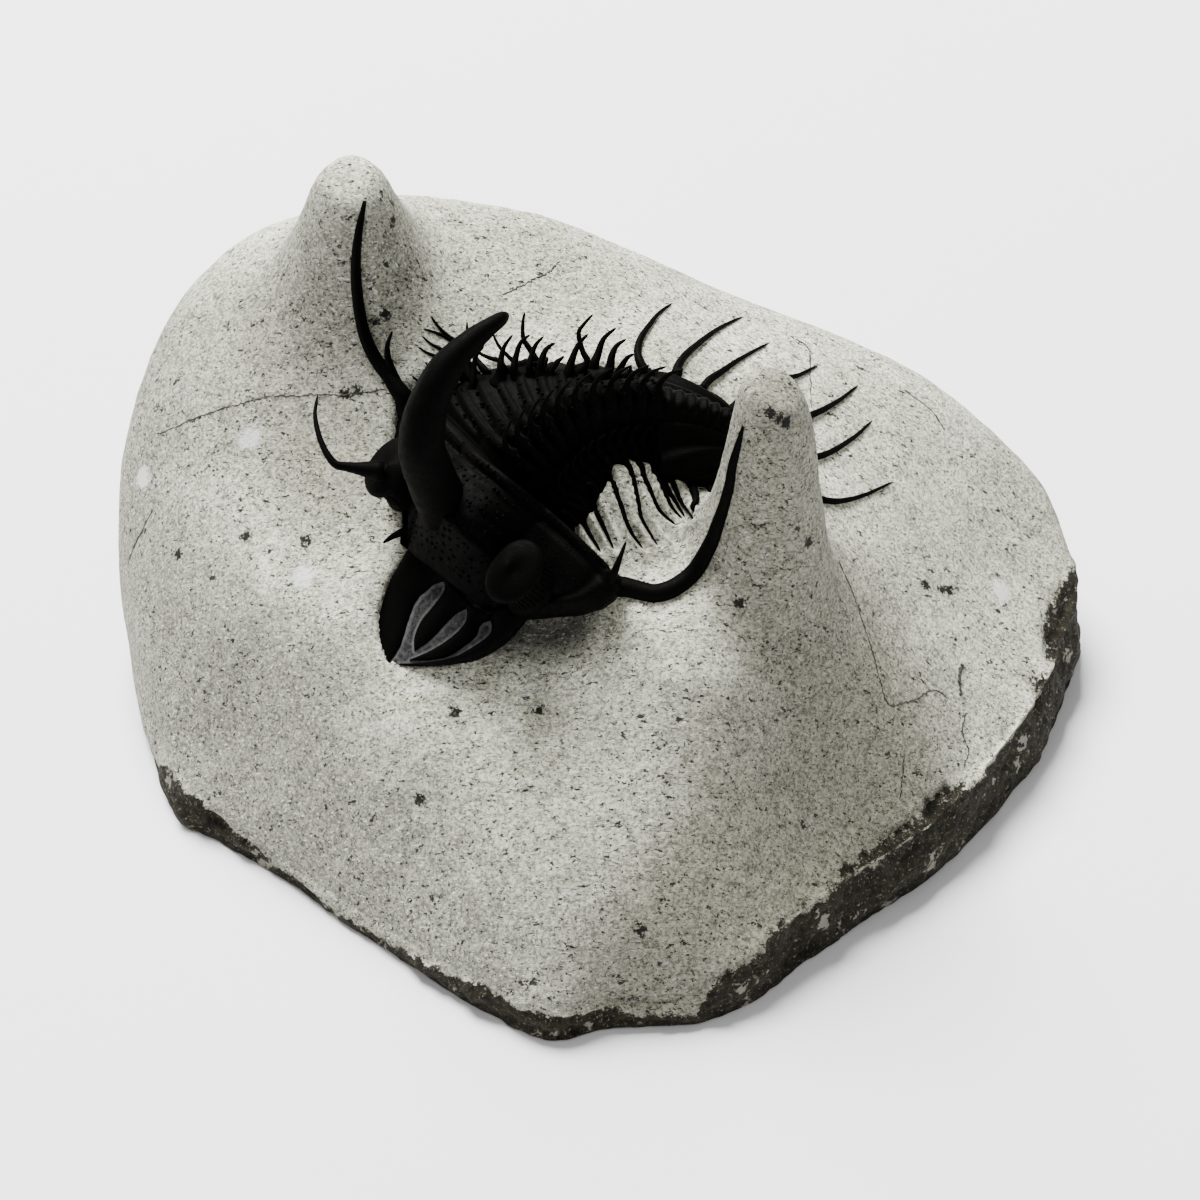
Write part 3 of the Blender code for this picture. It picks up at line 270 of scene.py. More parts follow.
FAR_TIPS = (
    ((-13.7, 17.2, 40.8), (-14.8, 18.6, 41.7), (-16, 19.2, 42.4), (-17.3, 19.4, 43),
     (-18.4, 19.4, 43.5)),
    ((-14.4, 17.8, 41.2), (-15.1, 19, 42), (-16.1, 19.5, 42.6), (-17.1, 20.2, 43.4),
     (-17.7, 20.7, 44.2)),
    ((-14.4, 16.7, 40.7), (-15.6, 17.6, 41.4), (-16.5, 18, 41.8), (-17.6, 18.3, 42.3),
     (-18.5, 18.8, 43)),
    ((-15, 16.1, 40.4), (-16.1, 16.9, 41.1), (-17, 17.2, 41.5), (-18, 17.4, 41.9),
     (-18.9, 17.8, 42.4)),
    ((-15.8, 15.2, 40.1), (-16.8, 15.8, 40.6), (-17.5, 16.2, 40.9), (-18.2, 16.6, 41.3)),
    ((-16.8, 13.7, 39.2), (-17.8, 14.4, 39.7), (-18.8, 14.9, 40.1), (-19.5, 15.4, 40.5)),
    ((-13.1, 17.9, 41), (-13.6, 19.3, 41.7), (-13.9, 20.4, 42.3), (-13.9, 21.3, 42.8)),
)
# Upright spines of the far side lobes: thickness at the root, then the route.
UPRIGHTS = (
    (0.34, (-10.3, 14.5, 42.1), (-10.2, 15.4, 43), (-9.9, 16.2, 43.8), (-9, 17.1, 44.7)),
    (0.34, (-8.9, 14.5, 42.1), (-8.7, 15.4, 43), (-8.2, 16.5, 44.1), (-7.2, 17.1, 44.7)),
    (0.32, (-7.3, 14.3, 42.4), (-7.1, 15.2, 43.3), (-6.6, 16.1, 44.2), (-5.8, 16.7, 44.8)),
    (0.34, (-6.1, 14.2, 42.9), (-5.8, 15.1, 43.8), (-5.3, 15.6, 44.3), (-4.6, 15.9, 44.6)),
    (0.30, (-5.1, 14, 42.3), (-4.5, 14.7, 42.9), (-4.1, 14.9, 43.2), (-3.7, 15.2, 43.4)),
    (0.42, (-3.3, 13.6, 42.3), (-2.9, 14.6, 43.4), (-2.2, 15.8, 44.5), (-1.2, 16.5, 45.3)),
    (0.44, (-0.6, 13.2, 43.8), (-0.2, 14.1, 44.7), (0.4, 15.2, 45.8), (1.7, 16, 46.6)),
    (0.42, (0.9, 12.8, 43.7), (1.2, 13.7, 44.7), (1.7, 14.5, 45.4), (2.7, 15, 45.9)),
    (0.38, (1.6, 12.6, 42.5), (2.1, 13.4, 43.3), (2.8, 14.1, 44.1), (3.5, 14.4, 44.4)),
    (0.26, (2.6, 12.6, 42.1), (2.8, 13, 42.6), (3.1, 13.5, 43), (3.2, 13.8, 43.3)),
    (0.26, (3.4, 12.6, 41.3), (3.8, 13.3, 42), (4.2, 13.8, 42.5), (4.5, 14.1, 42.8)),
    (0.24, (-7.6, 15.5, 40.4), (-8.9, 16.5, 41.4), (-10.4, 17.6, 42.5), (-11.2, 18.7, 43.6)),
    (0.30, (-6.1, 15.5, 41.5), (-7.1, 16.7, 42.7), (-7.9, 17.6, 43.6), (-8, 18.7, 44.7),
     (-7.8, 19.6, 45.6)),
    (0.28, (-1.3, 14.5, 43.2), (-1.8, 15.3, 44), (-2.2, 16.6, 45.3), (-1.6, 17.3, 46),
     (-0.7, 18, 46.7)),
    (0.34, (-13.2, 14.5, 40.2), (-13.1, 15.7, 41.3), (-12.8, 16.6, 42.3), (-12, 17.3, 43)),
    (0.22, (-10.3, 15.5, 42.3), (-11.4, 15.8, 42.6), (-12.3, 16.1, 42.9), (-12.8, 16.5, 43.3)),
)
TAIL_SPINES = (
    ((5.6, 15.4, 39.6), (4.5, 17.2, 40.1), (3.9, 18.8, 40.3), (4.1, 20.8, 40.5), (5.1, 23.2, 40.5),
     (6.1, 25.4, 40.2), (7.7, 28.1, 39.6)),
    ((7.4, 14.9, 38.9), (7.7, 16.9, 38.7), (8.4, 19.6, 38.8), (10.5, 23.1, 38.3),
     (12.8, 26.8, 37.2), (15.3, 30.3, 35.7)),
    ((10.2, 15.2, 37.8), (11.3, 18, 37.4), (12.9, 20.1, 37), (15.1, 23, 36.3),
     (18.1, 27.2, 34.7)),
    ((13.6, 14.4, 36.6), (16.2, 18.6, 35.6), (18.8, 21.4, 34.4), (21.2, 23.6, 33.2),
     (23.4, 26.3, 32.4)),
    ((15.2, 13, 35.2), (18.6, 16, 33.4), (22.5, 18.8, 31.9), (25.4, 22.1, 30.9),
     (27.8, 25.5, 30.2)),
    ((16, 11.2, 34.2), (19.5, 12.4, 32.2), (23.1, 13.9, 30.4), (26.6, 17.6, 29.4),
     (29.1, 21.4, 28.7)),
    ((15.8, 9, 33.8), (19.6, 8.6, 31.2), (23.8, 8.9, 28.7), (27.6, 11.3, 27.2),
     (31.2, 14.7, 26.1)),
    ((14.8, 7, 34), (16.8, 5, 33), (18.6, 3.9, 32)),
    ((12.2, 8.6, 34.6), (12.4, 7.2, 34.6), (12.6, 6.2, 34.6)),
    ((10.2, 8.6, 35.6), (10.7, 6.6, 35.4), (11, 5, 35.3), (11.5, 2.6, 35.3)),
    ((8.6, 6.4, 36.4), (9.2, 4.2, 35.9), (9.6, 2.2, 35.6), (9.9, 0.4, 35.3)),
)
# Each tail spine's radius at its root and at its tip.
TAIL_SPINE_RADII = ((0.62, 0.12), (0.66, 0.12), (0.6, 0.12), (0.62, 0.12), (0.66, 0.12),
                    (0.66, 0.12), (0.62, 0.12), (0.55, 0.12), (0.6, 0.2), (0.6, 0.3),
                    (0.72, 0.3))
# How the first rings of a tail spine swell from its rounded root.
TAIL_SPINE_BUDS = (0.3, 0.5, 0.68, 0.84, 0.95)

# The camera: height above the horizon, distance, lens and the point looked at.
CAMERA_ELEVATION = math.radians(45)
CAMERA_DISTANCE = 390.0
CAMERA_LENS = 112.32
CAMERA_TARGET = np.array([0.0, 0.0, 23.0])
VIEW_AHEAD = np.array([0, math.cos(CAMERA_ELEVATION), -math.sin(CAMERA_ELEVATION)])


# ------------------------------------------------------------- general helpers
def unit(v):
    return v / (np.linalg.norm(v, axis=-1, keepdims=True) + 1e-12)


def smoothstep(low, high, x):
    t = np.clip((x - low) / (high - low), 0, 1)
    return t * t * (3 - 2 * t)


def bell(x, middle, width):
    """One at the middle, falling smoothly to nothing on both sides."""
    return np.exp(-((x - middle) / width) ** 2)


def turn(count):
    """Angles evenly spaced round a circle."""
    return np.arange(count) * 2 * math.pi / count


def spread(values, count):
    """A few values stretched evenly over a larger count."""
    return np.interp(np.linspace(0, 1, count), np.linspace(0, 1, len(values)), values)


def surface(vertices, faces):
    """A searchable surface, for rays and nearest points."""
    return BVHTree.FromPolygons([Vector(p) for p in vertices], faces)


def closed_curve(points, steps):
    """Catmull-Rom curve through a closed list of points, steps to each span."""
    p = np.array(points, float)
    a, b, c, d = (np.roll(p, shift, axis=0) for shift in (1, 0, -1, -2))
    out = []
    for t in np.linspace(0, 1, steps, endpoint=False):
        out.append(0.5 * (2 * b + (c - a) * t + (2 * a - 5 * b + 4 * c - d) * t ** 2
                          + (3 * b - a - 3 * c + d) * t ** 3))
    return np.stack(out, axis=1).reshape(-1, p.shape[1])


def smooth_path(points, count):
    """Evenly numbered points on a Catmull-Rom curve through an open list."""
    p = np.array(points, float)
    p = np.vstack([2 * p[0] - p[1], p, 2 * p[-1] - p[-2]])
    t = np.linspace(0, len(p) - 3, count)
    i = np.minimum(t.astype(int), len(p) - 4)
    u = (t - i)[:, None]
    a, b, c, d = p[i], p[i + 1], p[i + 2], p[i + 3]
    return 0.5 * (2 * b + (c - a) * u + (2 * a - 5 * b + 4 * c - d) * u ** 2
                  + (3 * b - a - 3 * c + d) * u ** 3)


def flat_path(points, count):
    """A smooth path through plan points, at height 0."""
    return smooth_path([(*p, 0) for p in points], count)


def smooth_value(s, stations, values):
    """Smooth value at s through unevenly spaced stations."""
    slopes = np.gradient(values, stations)
    i = int(np.clip(np.searchsorted(stations, s) - 1, 0, len(stations) - 2))
    width = stations[i + 1] - stations[i]
    t = (s - stations[i]) / width
    ahead = 3 * t ** 2 - 2 * t ** 3
    leaving = (t ** 3 - 2 * t ** 2 + t) * width * slopes[i]
    arriving = (t ** 3 - t ** 2) * width * slopes[i + 1]
    return (1 - ahead) * values[i] + ahead * values[i + 1] + leaving + arriving


def noise_at(points, size, offset=0.0):
    """Smooth noise from about -1 to 1, with lumps of the given size in mm."""
    return np.array([noise.noise(Vector(p) / size + Vector((offset, -offset, offset)))
                     for p in points])


class Shape:
    """Vertices and faces gathered from several parts, in millimetres."""

    def __init__(self):
        self.vertices = []
        self.faces = []
        self.count = 0

    def add(self, vertices, faces):
        vertices = np.asarray(vertices, float)
        self.vertices.append(vertices)
        self.faces.extend(tuple(int(i) + self.count for i in face) for face in faces)
        self.count += len(vertices)

    def points(self):
        return np.concatenate(self.vertices)


def make_piece(name, shape, material, nodes, values=None):
    """A smooth-shaded mesh object that stands for the given CAD nodes."""
    data = bpy.data.meshes.new(name)
    points = (shape.points() - MIDDLE) * MM
    data.from_pydata(points.tolist(), [], shape.faces)
    data.update()
    data.shade_smooth()
    for key, numbers in (values or {}).items():
        layer = data.attributes.new(key, "FLOAT", "POINT")
        layer.data.foreach_set("value", np.asarray(numbers, np.float32))
    data.materials.append(material)
    thing = bpy.data.objects.new(name, data)
    bpy.context.scene.collection.objects.link(thing)
    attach(thing, "root")
    if nodes:
        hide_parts(*nodes)
    return thing


def grid_faces(rows, columns, closed):
    """Quads between rows of points, joined round if closed."""
    faces = []
    for r in range(rows - 1):
        for c in range(columns if closed else columns - 1):
            d = (c + 1) % columns
            faces.append((r * columns + c, r * columns + d,
                          (r + 1) * columns + d, (r + 1) * columns + c))
    return faces


def loft(rings):
    """Closed skin over rings with equal point counts, with fans at its ends."""
    rows, columns, _ = rings.shape
    faces = grid_faces(rows, columns, True)
    vertices = rings.reshape(-1, 3)
    ends = np.array([rings[0].mean(axis=0), rings[-1].mean(axis=0)])
    first = rows * columns
    for c in range(columns):
        d = (c + 1) % columns
        faces.append((first, d, c))
        faces.append((first + 1, first - columns + c, first - columns + d))
    return np.vstack([vertices, ends]), faces


def tube(path, radii, sides=10, flat=1.0, up=(0, 0, 1)):
    """Round or flattened tube along the path, with one radius to each point."""
    along = unit(np.gradient(path, axis=0))
    across = unit(np.cross(along, np.array(up, float)))
    lift = np.cross(across, along)
    angles = turn(sides)
    rings = (path[:, None] + radii[:, None, None]
             * (across[:, None] * np.cos(angles)[:, None]
                + lift[:, None] * np.sin(angles)[:, None] * flat))
    return loft(rings)


def ball(level):
    """Vertices and faces of a small ball."""
    mesh = bmesh.new()
    bmesh.ops.create_icosphere(mesh, subdivisions=level, radius=1.0)
    vertices = np.array([v.co for v in mesh.verts])
    faces = [tuple(v.index for v in f.verts) for f in mesh.faces]
    mesh.free()
    return vertices, faces


BALL = ball(2)


def spine_radii(count, root, tip, flare=1.9):
    """Radii along a spine: a flared base, then an even taper to a blunt tip."""
    t = np.linspace(0, 1, count)
    taper = root + (tip - root) * t ** 1.2
    base = 1 + (flare - 1) * bell(t, 0, 0.12)
    end = np.sqrt(np.clip((1 - t) / 0.05, 0.05, 1))
    return taper * base * end


# ------------------------------------------------------------------- the stone
def thin_plate(a, b):
    r2 = ((a - b) ** 2).sum(axis=-1)
    return 0.5 * r2 * np.log(r2 + 1e-9)


def spline_weights(spots):
    s = np.array(spots, float)
    n = len(s)
    kernel = thin_plate(s[:, None, :2], s[None, :, :2])
    plane = np.column_stack([np.ones(n), s[:, :2]])
    system = np.block([[kernel + np.eye(n) * GROUND_STIFFNESS, plane],
                       [plane.T, np.zeros((3, 3))]])
    return np.linalg.solve(system, np.concatenate([s[:, 2], np.zeros(3)]))


GROUND_WEIGHTS = spline_weights(GROUND)
RIM_CURVE = closed_curve(RIM, 12)
RIM_ANGLE = np.arctan2(RIM_CURVE[:, 1], RIM_CURVE[:, 0])
RIM_ORDER = np.argsort(RIM_ANGLE)


def rim_at(angle):
    """Outline radius, rim height, rim inset and base inset in the given directions."""
    angles = RIM_ANGLE[RIM_ORDER]
    radius = np.hypot(RIM_CURVE[:, 0], RIM_CURVE[:, 1])[RIM_ORDER]
    wrap = 2 * math.pi
    a = (np.asarray(angle) + math.pi) % wrap - math.pi
    return [np.interp(a, angles, values, period=wrap)
            for values in (radius, *RIM_CURVE[RIM_ORDER, 2:5].T)]


def ground_height(x, y):
    spots = np.array(GROUND, float)
    here = np.stack([x, y], axis=-1)
    kernel = thin_plate(here[..., None, :], spots[:, :2])
    plane = GROUND_WEIGHTS[-3] + GROUND_WEIGHTS[-2] * x + GROUND_WEIGHTS[-1] * y
    return kernel @ GROUND_WEIGHTS[:-3] + plane


def stone_height(x, y):
    """Height of the stone's top surface."""
    height = ground_height(x, y)
    for column in COLUMNS:
        cx, cy = column["at"]
        rise = column["top"] - ground_height(np.array(cx), np.array(cy))
        reach = np.hypot(x - cx, y - cy) / column["radius"]
        shaft = (1 - column["foot"]) / (1 + reach ** column["power"])
        foot = column["foot"] / (1 + (reach / FOOT_SPREAD) ** FOOT_POWER)
        height = height + rise * (shaft + foot)
    radius, rim, rim_inset, _ = rim_at(np.arctan2(y, x))
    share = np.clip(np.hypot(x, y) / (radius - rim_inset), 0, 1)
    return rim + (height - rim) * np.sqrt(1 - share ** SHOULDER_POWER)


def rock_plan():
    """Plan points of the top, ring by ring from the middle out."""
    angles = turn(SECTORS)
    outline, _, rim_inset, _ = rim_at(angles)
    edge = (outline - rim_inset)[:, None] * np.column_stack([np.cos(angles), np.sin(angles)])
    x = np.arange(1, TOP_RINGS + 1) / TOP_RINGS
    share = 1.25 * x - 0.25 * x ** 3
    plan = ROCK_CENTRE + (edge[None] - ROCK_CENTRE) * share[:, None, None]
    for column in COLUMNS:
        away = plan - column["at"]
        reach = np.linalg.norm(away, axis=-1) / column["radius"] + 1e-9
        pull = GATHER * (1 - reach) * bell(reach, 1, GATHER_WIDTH)
        plan = np.array(column["at"]) + away * ((reach + pull) / reach)[..., None]
    return plan


def distance_to_line(points, line):
    """Plan distance from points to a line of straight spans."""
    best = np.full(points.shape[:-1], np.inf)
    ends = np.array([p[:2] for p in line])
    for a, b in zip(ends, ends[1:]):
        t = np.clip(((points - a) @ (b - a)) / ((b - a) @ (b - a)), 0, 1)
        best = np.minimum(best, np.linalg.norm(points - a - t[..., None] * (b - a), axis=-1))
    return best


def finger_rise(plan, lines):
    """The stone left standing between the near tip spines."""
    nearest = np.min([distance_to_line(plan, line) for line in lines], axis=0)
    inside = bell(np.clip(nearest - 0.55, 0, None), 0, 0.8)
    return FINGER_HEIGHT * inside * smoothstep(0.15, 0.6, nearest)


def underside_at(body, place):
    """Height at which a body's underside lies over a plan point, or None."""
    hit = body.ray_cast(Vector((*place, 0)), Vector((0, 0, 1)))[0]
    return hit and hit.z


def lower_under(bodies, plan, height):
    """Brings the stone's heights down under the animal's shields."""
    middle, reach = SHIELD_CIRCLE
    near = np.hypot(*(plan - middle).T) < reach
    for body, sunk in bodies:
        for i in np.nonzero(near)[0]:
            below = underside_at(body, plan[i])
            if below is not None and below + sunk < height[i]:
                height[i] = below + sunk


def rock_wall():
    """Rings down the block's natural wall, from just under the rim to the base."""
    angles = turn(SECTORS)
    outline, rim, rim_inset, base_inset = rim_at(angles)
    wall = []
    for share in 1 - np.arange(1, WALL_RINGS + 1) / WALL_RINGS:
        bulge = math.sin(math.pi * share) ** 0.6
        inset = rim_inset * share ** 3 + base_inset * (1 - share) ** 2 - WALL_BULGE * bulge
        radius = outline - np.maximum(inset, 0)
        wall.append(np.column_stack([radius * np.cos(angles), radius * np.sin(angles),
                                     rim * share]))
    return np.array(wall)


def darkened(places):
    """How strongly each plan point is darkened by the patches, partly stain and partly painted
    shade, from 0 to 1.
    """
    amount = np.zeros(len(places))
    for line, reach, strength in DARK_PATCHES:
        beside = distance_to_line(places, line)
        amount = np.maximum(amount, strength * (1 - smoothstep(*reach, beside)))
    return amount


def make_rock(bodies, lines, material):
    """The carved block with its dark natural rim, kept under the animal's shields."""
    plan = rock_plan()
    height = stone_height(plan[..., 0], plan[..., 1]) + finger_rise(plan, lines)
    # Painted shadow: the stone is darkened along the near cheek's lower margin.
    margin = [tuple(head_surface(CHEEK_SHADOW_OUT, v)) for v in np.linspace(*CHEEK_SHADOW_SPAN, 12)]
    cheek_shadow = 1 - smoothstep(0, CHEEK_SHADOW_FADE, distance_to_line(plan, margin))
    lower_under(bodies, plan.reshape(-1, 2), height.reshape(-1))
    rings = np.concatenate([np.concatenate([plan, height[..., None]], axis=-1), rock_wall()])
    rings, crust = roughen(rings)
    below = [underside_at(body, ROCK_CENTRE) for body, _ in bodies]
    centre = min([stone_height(*ROCK_CENTRE[:, None])[0], *(z for z in below if z is not None)])
    points = rings.reshape(-1, 3)
    faces = [tuple(reversed(f)) for f in grid_faces(len(rings), SECTORS, True)]
    faces.extend((len(points), c, (c + 1) % SECTORS) for c in range(SECTORS))
    faces.append(tuple(reversed(range(len(points) - SECTORS, len(points)))))
    shape = Shape()
    shape.add(np.vstack([points, (*ROCK_CENTRE, centre)]), faces)
    shaded = np.zeros(len(points) + 1)
    shaded[:cheek_shadow.size] = cheek_shadow.reshape(-1)
    values = {"crust": np.append(crust, DEEP_INSIDE), "stain_and_shade": np.append(darkened(points[:, :2]), 0),
              "steep_shade": np.append(steepness(rings).reshape(-1), 0), "cheek_shadow": shaded}
    return make_piece("rock", shape, material, ["matrix"], values)


def steepness(rings):
    """From 0 on gentle slopes to 1 on the columns' steep sides."""
    around = np.roll(rings, -4, axis=1) - np.roll(rings, 4, axis=1)
    outward = np.roll(rings, -2, axis=0) - np.roll(rings, 2, axis=0)
    outward[:2] = outward[2]
    outward[-2:] = outward[-3]
    return 1 - smoothstep(0.42, 0.92, np.abs(unit(np.cross(outward, around))[..., 2]))


def roughen(rings):
    """Tool ripple on the carved face, broken relief on the crust; crust depth in mm."""
    rows, columns, _ = rings.shape
    points = rings.reshape(-1, 3)
    angle = np.degrees(np.arctan2(points[:, 1], points[:, 0]))
    table = np.array(CRUST)
    limit = np.interp(angle, table[:, 0], table[:, 1], period=360)
    patch = noise_at(points, 5.5, 3.1)
    fine = noise_at(points, 1.7, 8.2)
    crust = limit - 0.2 + 0.7 * patch + 0.5 * fine - points[:, 2]
    around = np.roll(rings, -1, axis=1) - np.roll(rings, 1, axis=1)
    outward = np.gradient(rings, axis=0)
    normal = unit(np.cross(outward, around)).reshape(-1, 3)
    carved = 0.20 * noise_at(points, 8.0) + 0.10 * noise_at(points, 2.8, 5.0)
    carved += 0.05 * noise_at(points, 0.9, 2.0)
    broken = 1.15 * noise_at(points, 6.0, 9.0) + 0.85 * np.abs(noise_at(points, 2.6, 4.0))
    broken += 0.4 * np.abs(fine) - 0.6
    amount = smoothstep(-0.6, 0.5, crust)
    lift = carved * (1 - amount) + broken * amount
    ground = points[:, 2] < 1e-6
    above = smoothstep(0, 1.2, points[:, 2])
    moved = points + normal * (lift * (0.35 + 0.65 * above))[:, None]
    moved[:, 2] = np.maximum(moved[:, 2], 0.02)
    moved[ground, 2] = 0
    return moved.reshape(rows, columns, 3), crust


def surface_of(thing):
    """A made piece's surface in millimetres, for nearest-point tests."""
    data = thing.data
    points = np.empty(len(data.vertices) * 3)
    data.vertices.foreach_get("co", points)
    points = points.reshape(-1, 3) / MM + MIDDLE
    return surface(points, [tuple(f.vertices) for f in data.polygons])


def make_cracks(stone, material):
    """Hairline cracks and one notch: thin dark threads let into the carved face."""
    shape = Shape()
    for line in (*CRACKS, NOTCH):
        radius = NOTCH_RADIUS if line is NOTCH else CRACK_RADIUS
        count = 14 * (len(line) - 1)
        path = flat_path(line, count)
        path[:, :2] += RANDOM.normal(0, 0.05, (count, 2))
        for k in range(count):
            path[k] = stone.ray_cast(Vector((*path[k][:2], 90)), Vector((0, 0, -1)))[0]
        radii = radius * RANDOM.uniform(0.5, 1.3, count)
        radii[[0, -1]] = 0.02
        shape.add(*tube(path - (0, 0, 0.03), radii, sides=5))
    return make_piece("rock_cracks", shape, material, [])


# ------------------------------------------------------------------- the animal
def head_frame():
    ahead = unit(np.array(HEAD_AHEAD))
    side = np.array(HEAD_SIDE)
    side = unit(side - ahead * side.dot(ahead))
    return np.array(HEAD_AT), side, ahead, np.cross(ahead, side)


HEAD = head_frame()


def head_point(a, b, h):
    """Point a to the near side, b forward and h up from the neck's middle."""
    origin, side, ahead, up = HEAD
    a, b, h = np.broadcast_arrays(a, b, h)
    return origin + a[..., None] * side + b[..., None] * ahead + h[..., None] * up


def body_table():
    rows = np.array(BODY_ROWS, float)
    s = np.arange(-2, 31, 0.1)
    origin = np.array([[smooth_value(v, rows[:, 0], rows[:, k]) for k in (1, 2, 3)] for v in s])
    side = np.array([[smooth_value(v, rows[:, 0], rows[:, k]) for k in (4, 5, 6)] for v in s])
    ahead = -unit(np.gradient(origin, axis=0))
    side = unit(side - ahead * (side * ahead).sum(axis=1)[:, None])
    return s, origin, side, np.cross(ahead, side), ahead


TABLE = body_table()


def body_point(a, s, h):
    """Point a to the near side and h up at the distance s behind the neck."""
    a, s, h = np.broadcast_arrays(a, s, h)
    stations = TABLE[0]
    origin, side, up = [np.stack([np.interp(s, stations, part[:, k]) for k in range(3)], axis=-1)
                        for part in TABLE[1:4]]
    return origin + a[..., None] * side + h[..., None] * up


def head_height(u, v, half):
    """Height of the head's top: domed cheeks, the glabella, and the fall to the brow."""
    a = half * u
    cheek = 0.5 + 4.0 * np.clip(1 - np.abs(u) ** 2.2, 0, 1) ** 0.8
    swell = 1.4 * bell(v, 0.55, 0.3)
    vault = (3.0 + swell) * np.exp(-np.abs(a / 5.4) ** 4)
    fall = 0.55 * np.clip(v - 0.6, 0, None) / 0.4
    height = (cheek + vault) * (1 - fall)
    height -= 0.55 * bell(np.abs(a), 5.9, 0.5)
    lobe = bell(np.abs(a), 3.6, 1.3)
    for groove in (0.18, 0.38, 0.56):
        height -= 0.45 * lobe * bell(v, groove, 0.035)
    height -= 0.7 * bell(v, 0.1, 0.03) * (1 - np.abs(u) ** 4)
    border = bell(np.abs(u), 0.93, 0.03)
    return height + (0.35 * border - 0.4 * bell(np.abs(u), 0.85, 0.03))


def head_sweep(u):
    """How far the head's rear edge is swept back at a share of the half-width."""
    far, near = HEAD_SWEEP["far"], HEAD_SWEEP["near"]
    u = np.asarray(u, float)
    return np.where(u > 0, near[0] * np.abs(u) ** near[1], far[0] * np.abs(u) ** far[1])


def head_half(v, u):
    """Half-width of the head at a share of its length, on the side that u is on."""
    return np.where(np.asarray(u) > 0, np.interp(v, HEAD_STATIONS, HEAD_NEAR),
                    np.interp(v, HEAD_STATIONS, HEAD_FAR))


def head_ahead(u, v):
    """How far ahead of the neck a point of the head shield lies."""
    return HEAD_LENGTH * v - 0.5 - head_sweep(u) * (1 - v)


def head_shell(shape):
    """The vaulted head shield."""
    u = np.linspace(-1, 1, 91)
    low = np.array([1, 0.8, 0.4, 0, -0.4, -0.8, -1])
    rings = []
    for v in np.linspace(0, 1, 42):
        under = head_point(head_half(v, low) * low * 0.97, head_ahead(low, v), -HEAD_SKIRT)
        rings.append(np.vstack([head_surface(u, v), under]))
    rings = np.array(rings)
    points = rings.reshape(-1, 3)
    points += unit(points - np.array(HEAD_AT)) * 0.12 * noise_at(points, 1.6)[:, None]
    shape.add(*loft(rings))


def head_surface(u, v):
    """Point on the head shield's top."""
    half = head_half(v, u)
    return head_point(half * u, head_ahead(u, v), head_height(u, v, half))


def add_tubercle(shape, centre, size):
    vertices, faces = BALL
    shape.add(centre + vertices * size, faces)


def head_tubercles(shape):
    """Granules over the glabella and the cheeks, evenly spaced but not in rows."""
    for v in np.arange(0.04, 0.97, 0.062):
        half = np.interp(v, HEAD_STATIONS, HEAD_FAR)
        for a in np.arange(-half * 0.95, half * 0.95, 0.86):
            a = a + RANDOM.uniform(-0.3, 0.3)
            place = v + RANDOM.uniform(-0.022, 0.022)
            on_glabella = abs(a) < 5
            size = RANDOM.uniform(0.13, 0.26) if on_glabella else RANDOM.uniform(0.09, 0.17)
            name = "near" if a > 0 else "far"
            reach = math.hypot(abs(a) - EYE_AT[name][0], HEAD_LENGTH * v - EYE_AT[name][1])
            if reach > 3.2 and abs(a / half) < 0.97:
                centre = head_surface(a / half, np.clip(place, 0.02, 0.98))
                add_tubercle(shape, centre - 0.4 * size * HEAD[3], size)


def eye_radius(angle, base):
    """Plan radius of the kidney-shaped turret in the given direction."""
    from_inner_side = np.abs(np.angle(np.exp(1j * (angle - math.pi))))
    return base * (1 - 0.14 * bell(from_inner_side, 0, 0.7))


# Shares by which an eye turret is narrower sideways and longer ahead than it is round.
EYE_STRETCH = (0.85, 1.1)
# The lenses' lowest and highest places up the turret, and the step between two.
LENS_START, LENS_END, LENS_STEP = 2.7, 5.8, 0.42
LENS_SIZE = 0.19
LENS_SINK = 0.04
# An eye turret's outline: height and radius.
EYE_PROFILE = ((1.6, 3.1), (3.0, 2.7), (4.4, 2.6), (5.4, 2.6), (6.1, 2.75), (6.5, 3.1),
               (6.9, 3.2), (7.3, 2.9), (7.6, 2.1), (7.75, 1.2), (7.8, 0.3))


def eye_point(name, angle, radius, height):
    """A point of an eye turret; the angle starts at its outer side."""
    middle, ahead = EYE_AT[name]
    side = 1 if name == "near" else -1
    a = (middle + EYE_STRETCH[0] * radius * np.cos(angle)) * side
    return head_point(a, ahead + EYE_STRETCH[1] * radius * np.sin(angle), height)


def head_eye(shape, name):
    """A tall eye turret with a brow lobe, and files of round lenses on its outer face."""
    profile = smooth_path(EYE_PROFILE, 34)
    angles = turn(40)
    rings = []
    for h, r in profile:
        lid = 0.35 * smoothstep(5.6, 6.9, h) * np.cos(angles)
        rings.append(eye_point(name, angles, eye_radius(angles, r), h - lid))
    shape.add(*loft(np.array(rings)))
    for file, angle in enumerate(np.radians(np.linspace(-115, 115, 23))):
        for h in LENS_START + LENS_STEP * (np.arange(8) + 0.5 * (file % 2)):
            if h <= LENS_END:
                radius = eye_radius(angle, np.interp(h, *profile.T)) - LENS_SINK
                add_tubercle(shape, eye_point(name, angle, radius, h), LENS_SIZE)


def snout(shape):
    """Four blade-like prongs that arch together to one point."""
    thickness = spread(PRONG_THICKNESS, 34)
    angles = turn(16)
    for left, right in PRONG_EDGES:
        a = flat_path(left, 34)
        b = flat_path(right, 34)
        middle = 0.5 * (a + b)
        half = 0.5 * (b - a)
        rings = []
        for m, w, t in zip(middle, half, thickness):
            across = np.cos(angles)[:, None] * w
            h = 0.3 + t * np.sin(angles) * 0.75
            rings.append(head_point(m[0] + across[:, 0], m[1] + across[:, 1], h))
        shape.add(*loft(np.array(rings)))


# The matrix between the prongs: its share of the snout's width, its height above the
# head's plane at the snout's root, and its depth under it.
FILL_SPAN = (0.08, 0.92)
FILL_HEIGHT = 0.75
FILL_DEPTH = 1.2


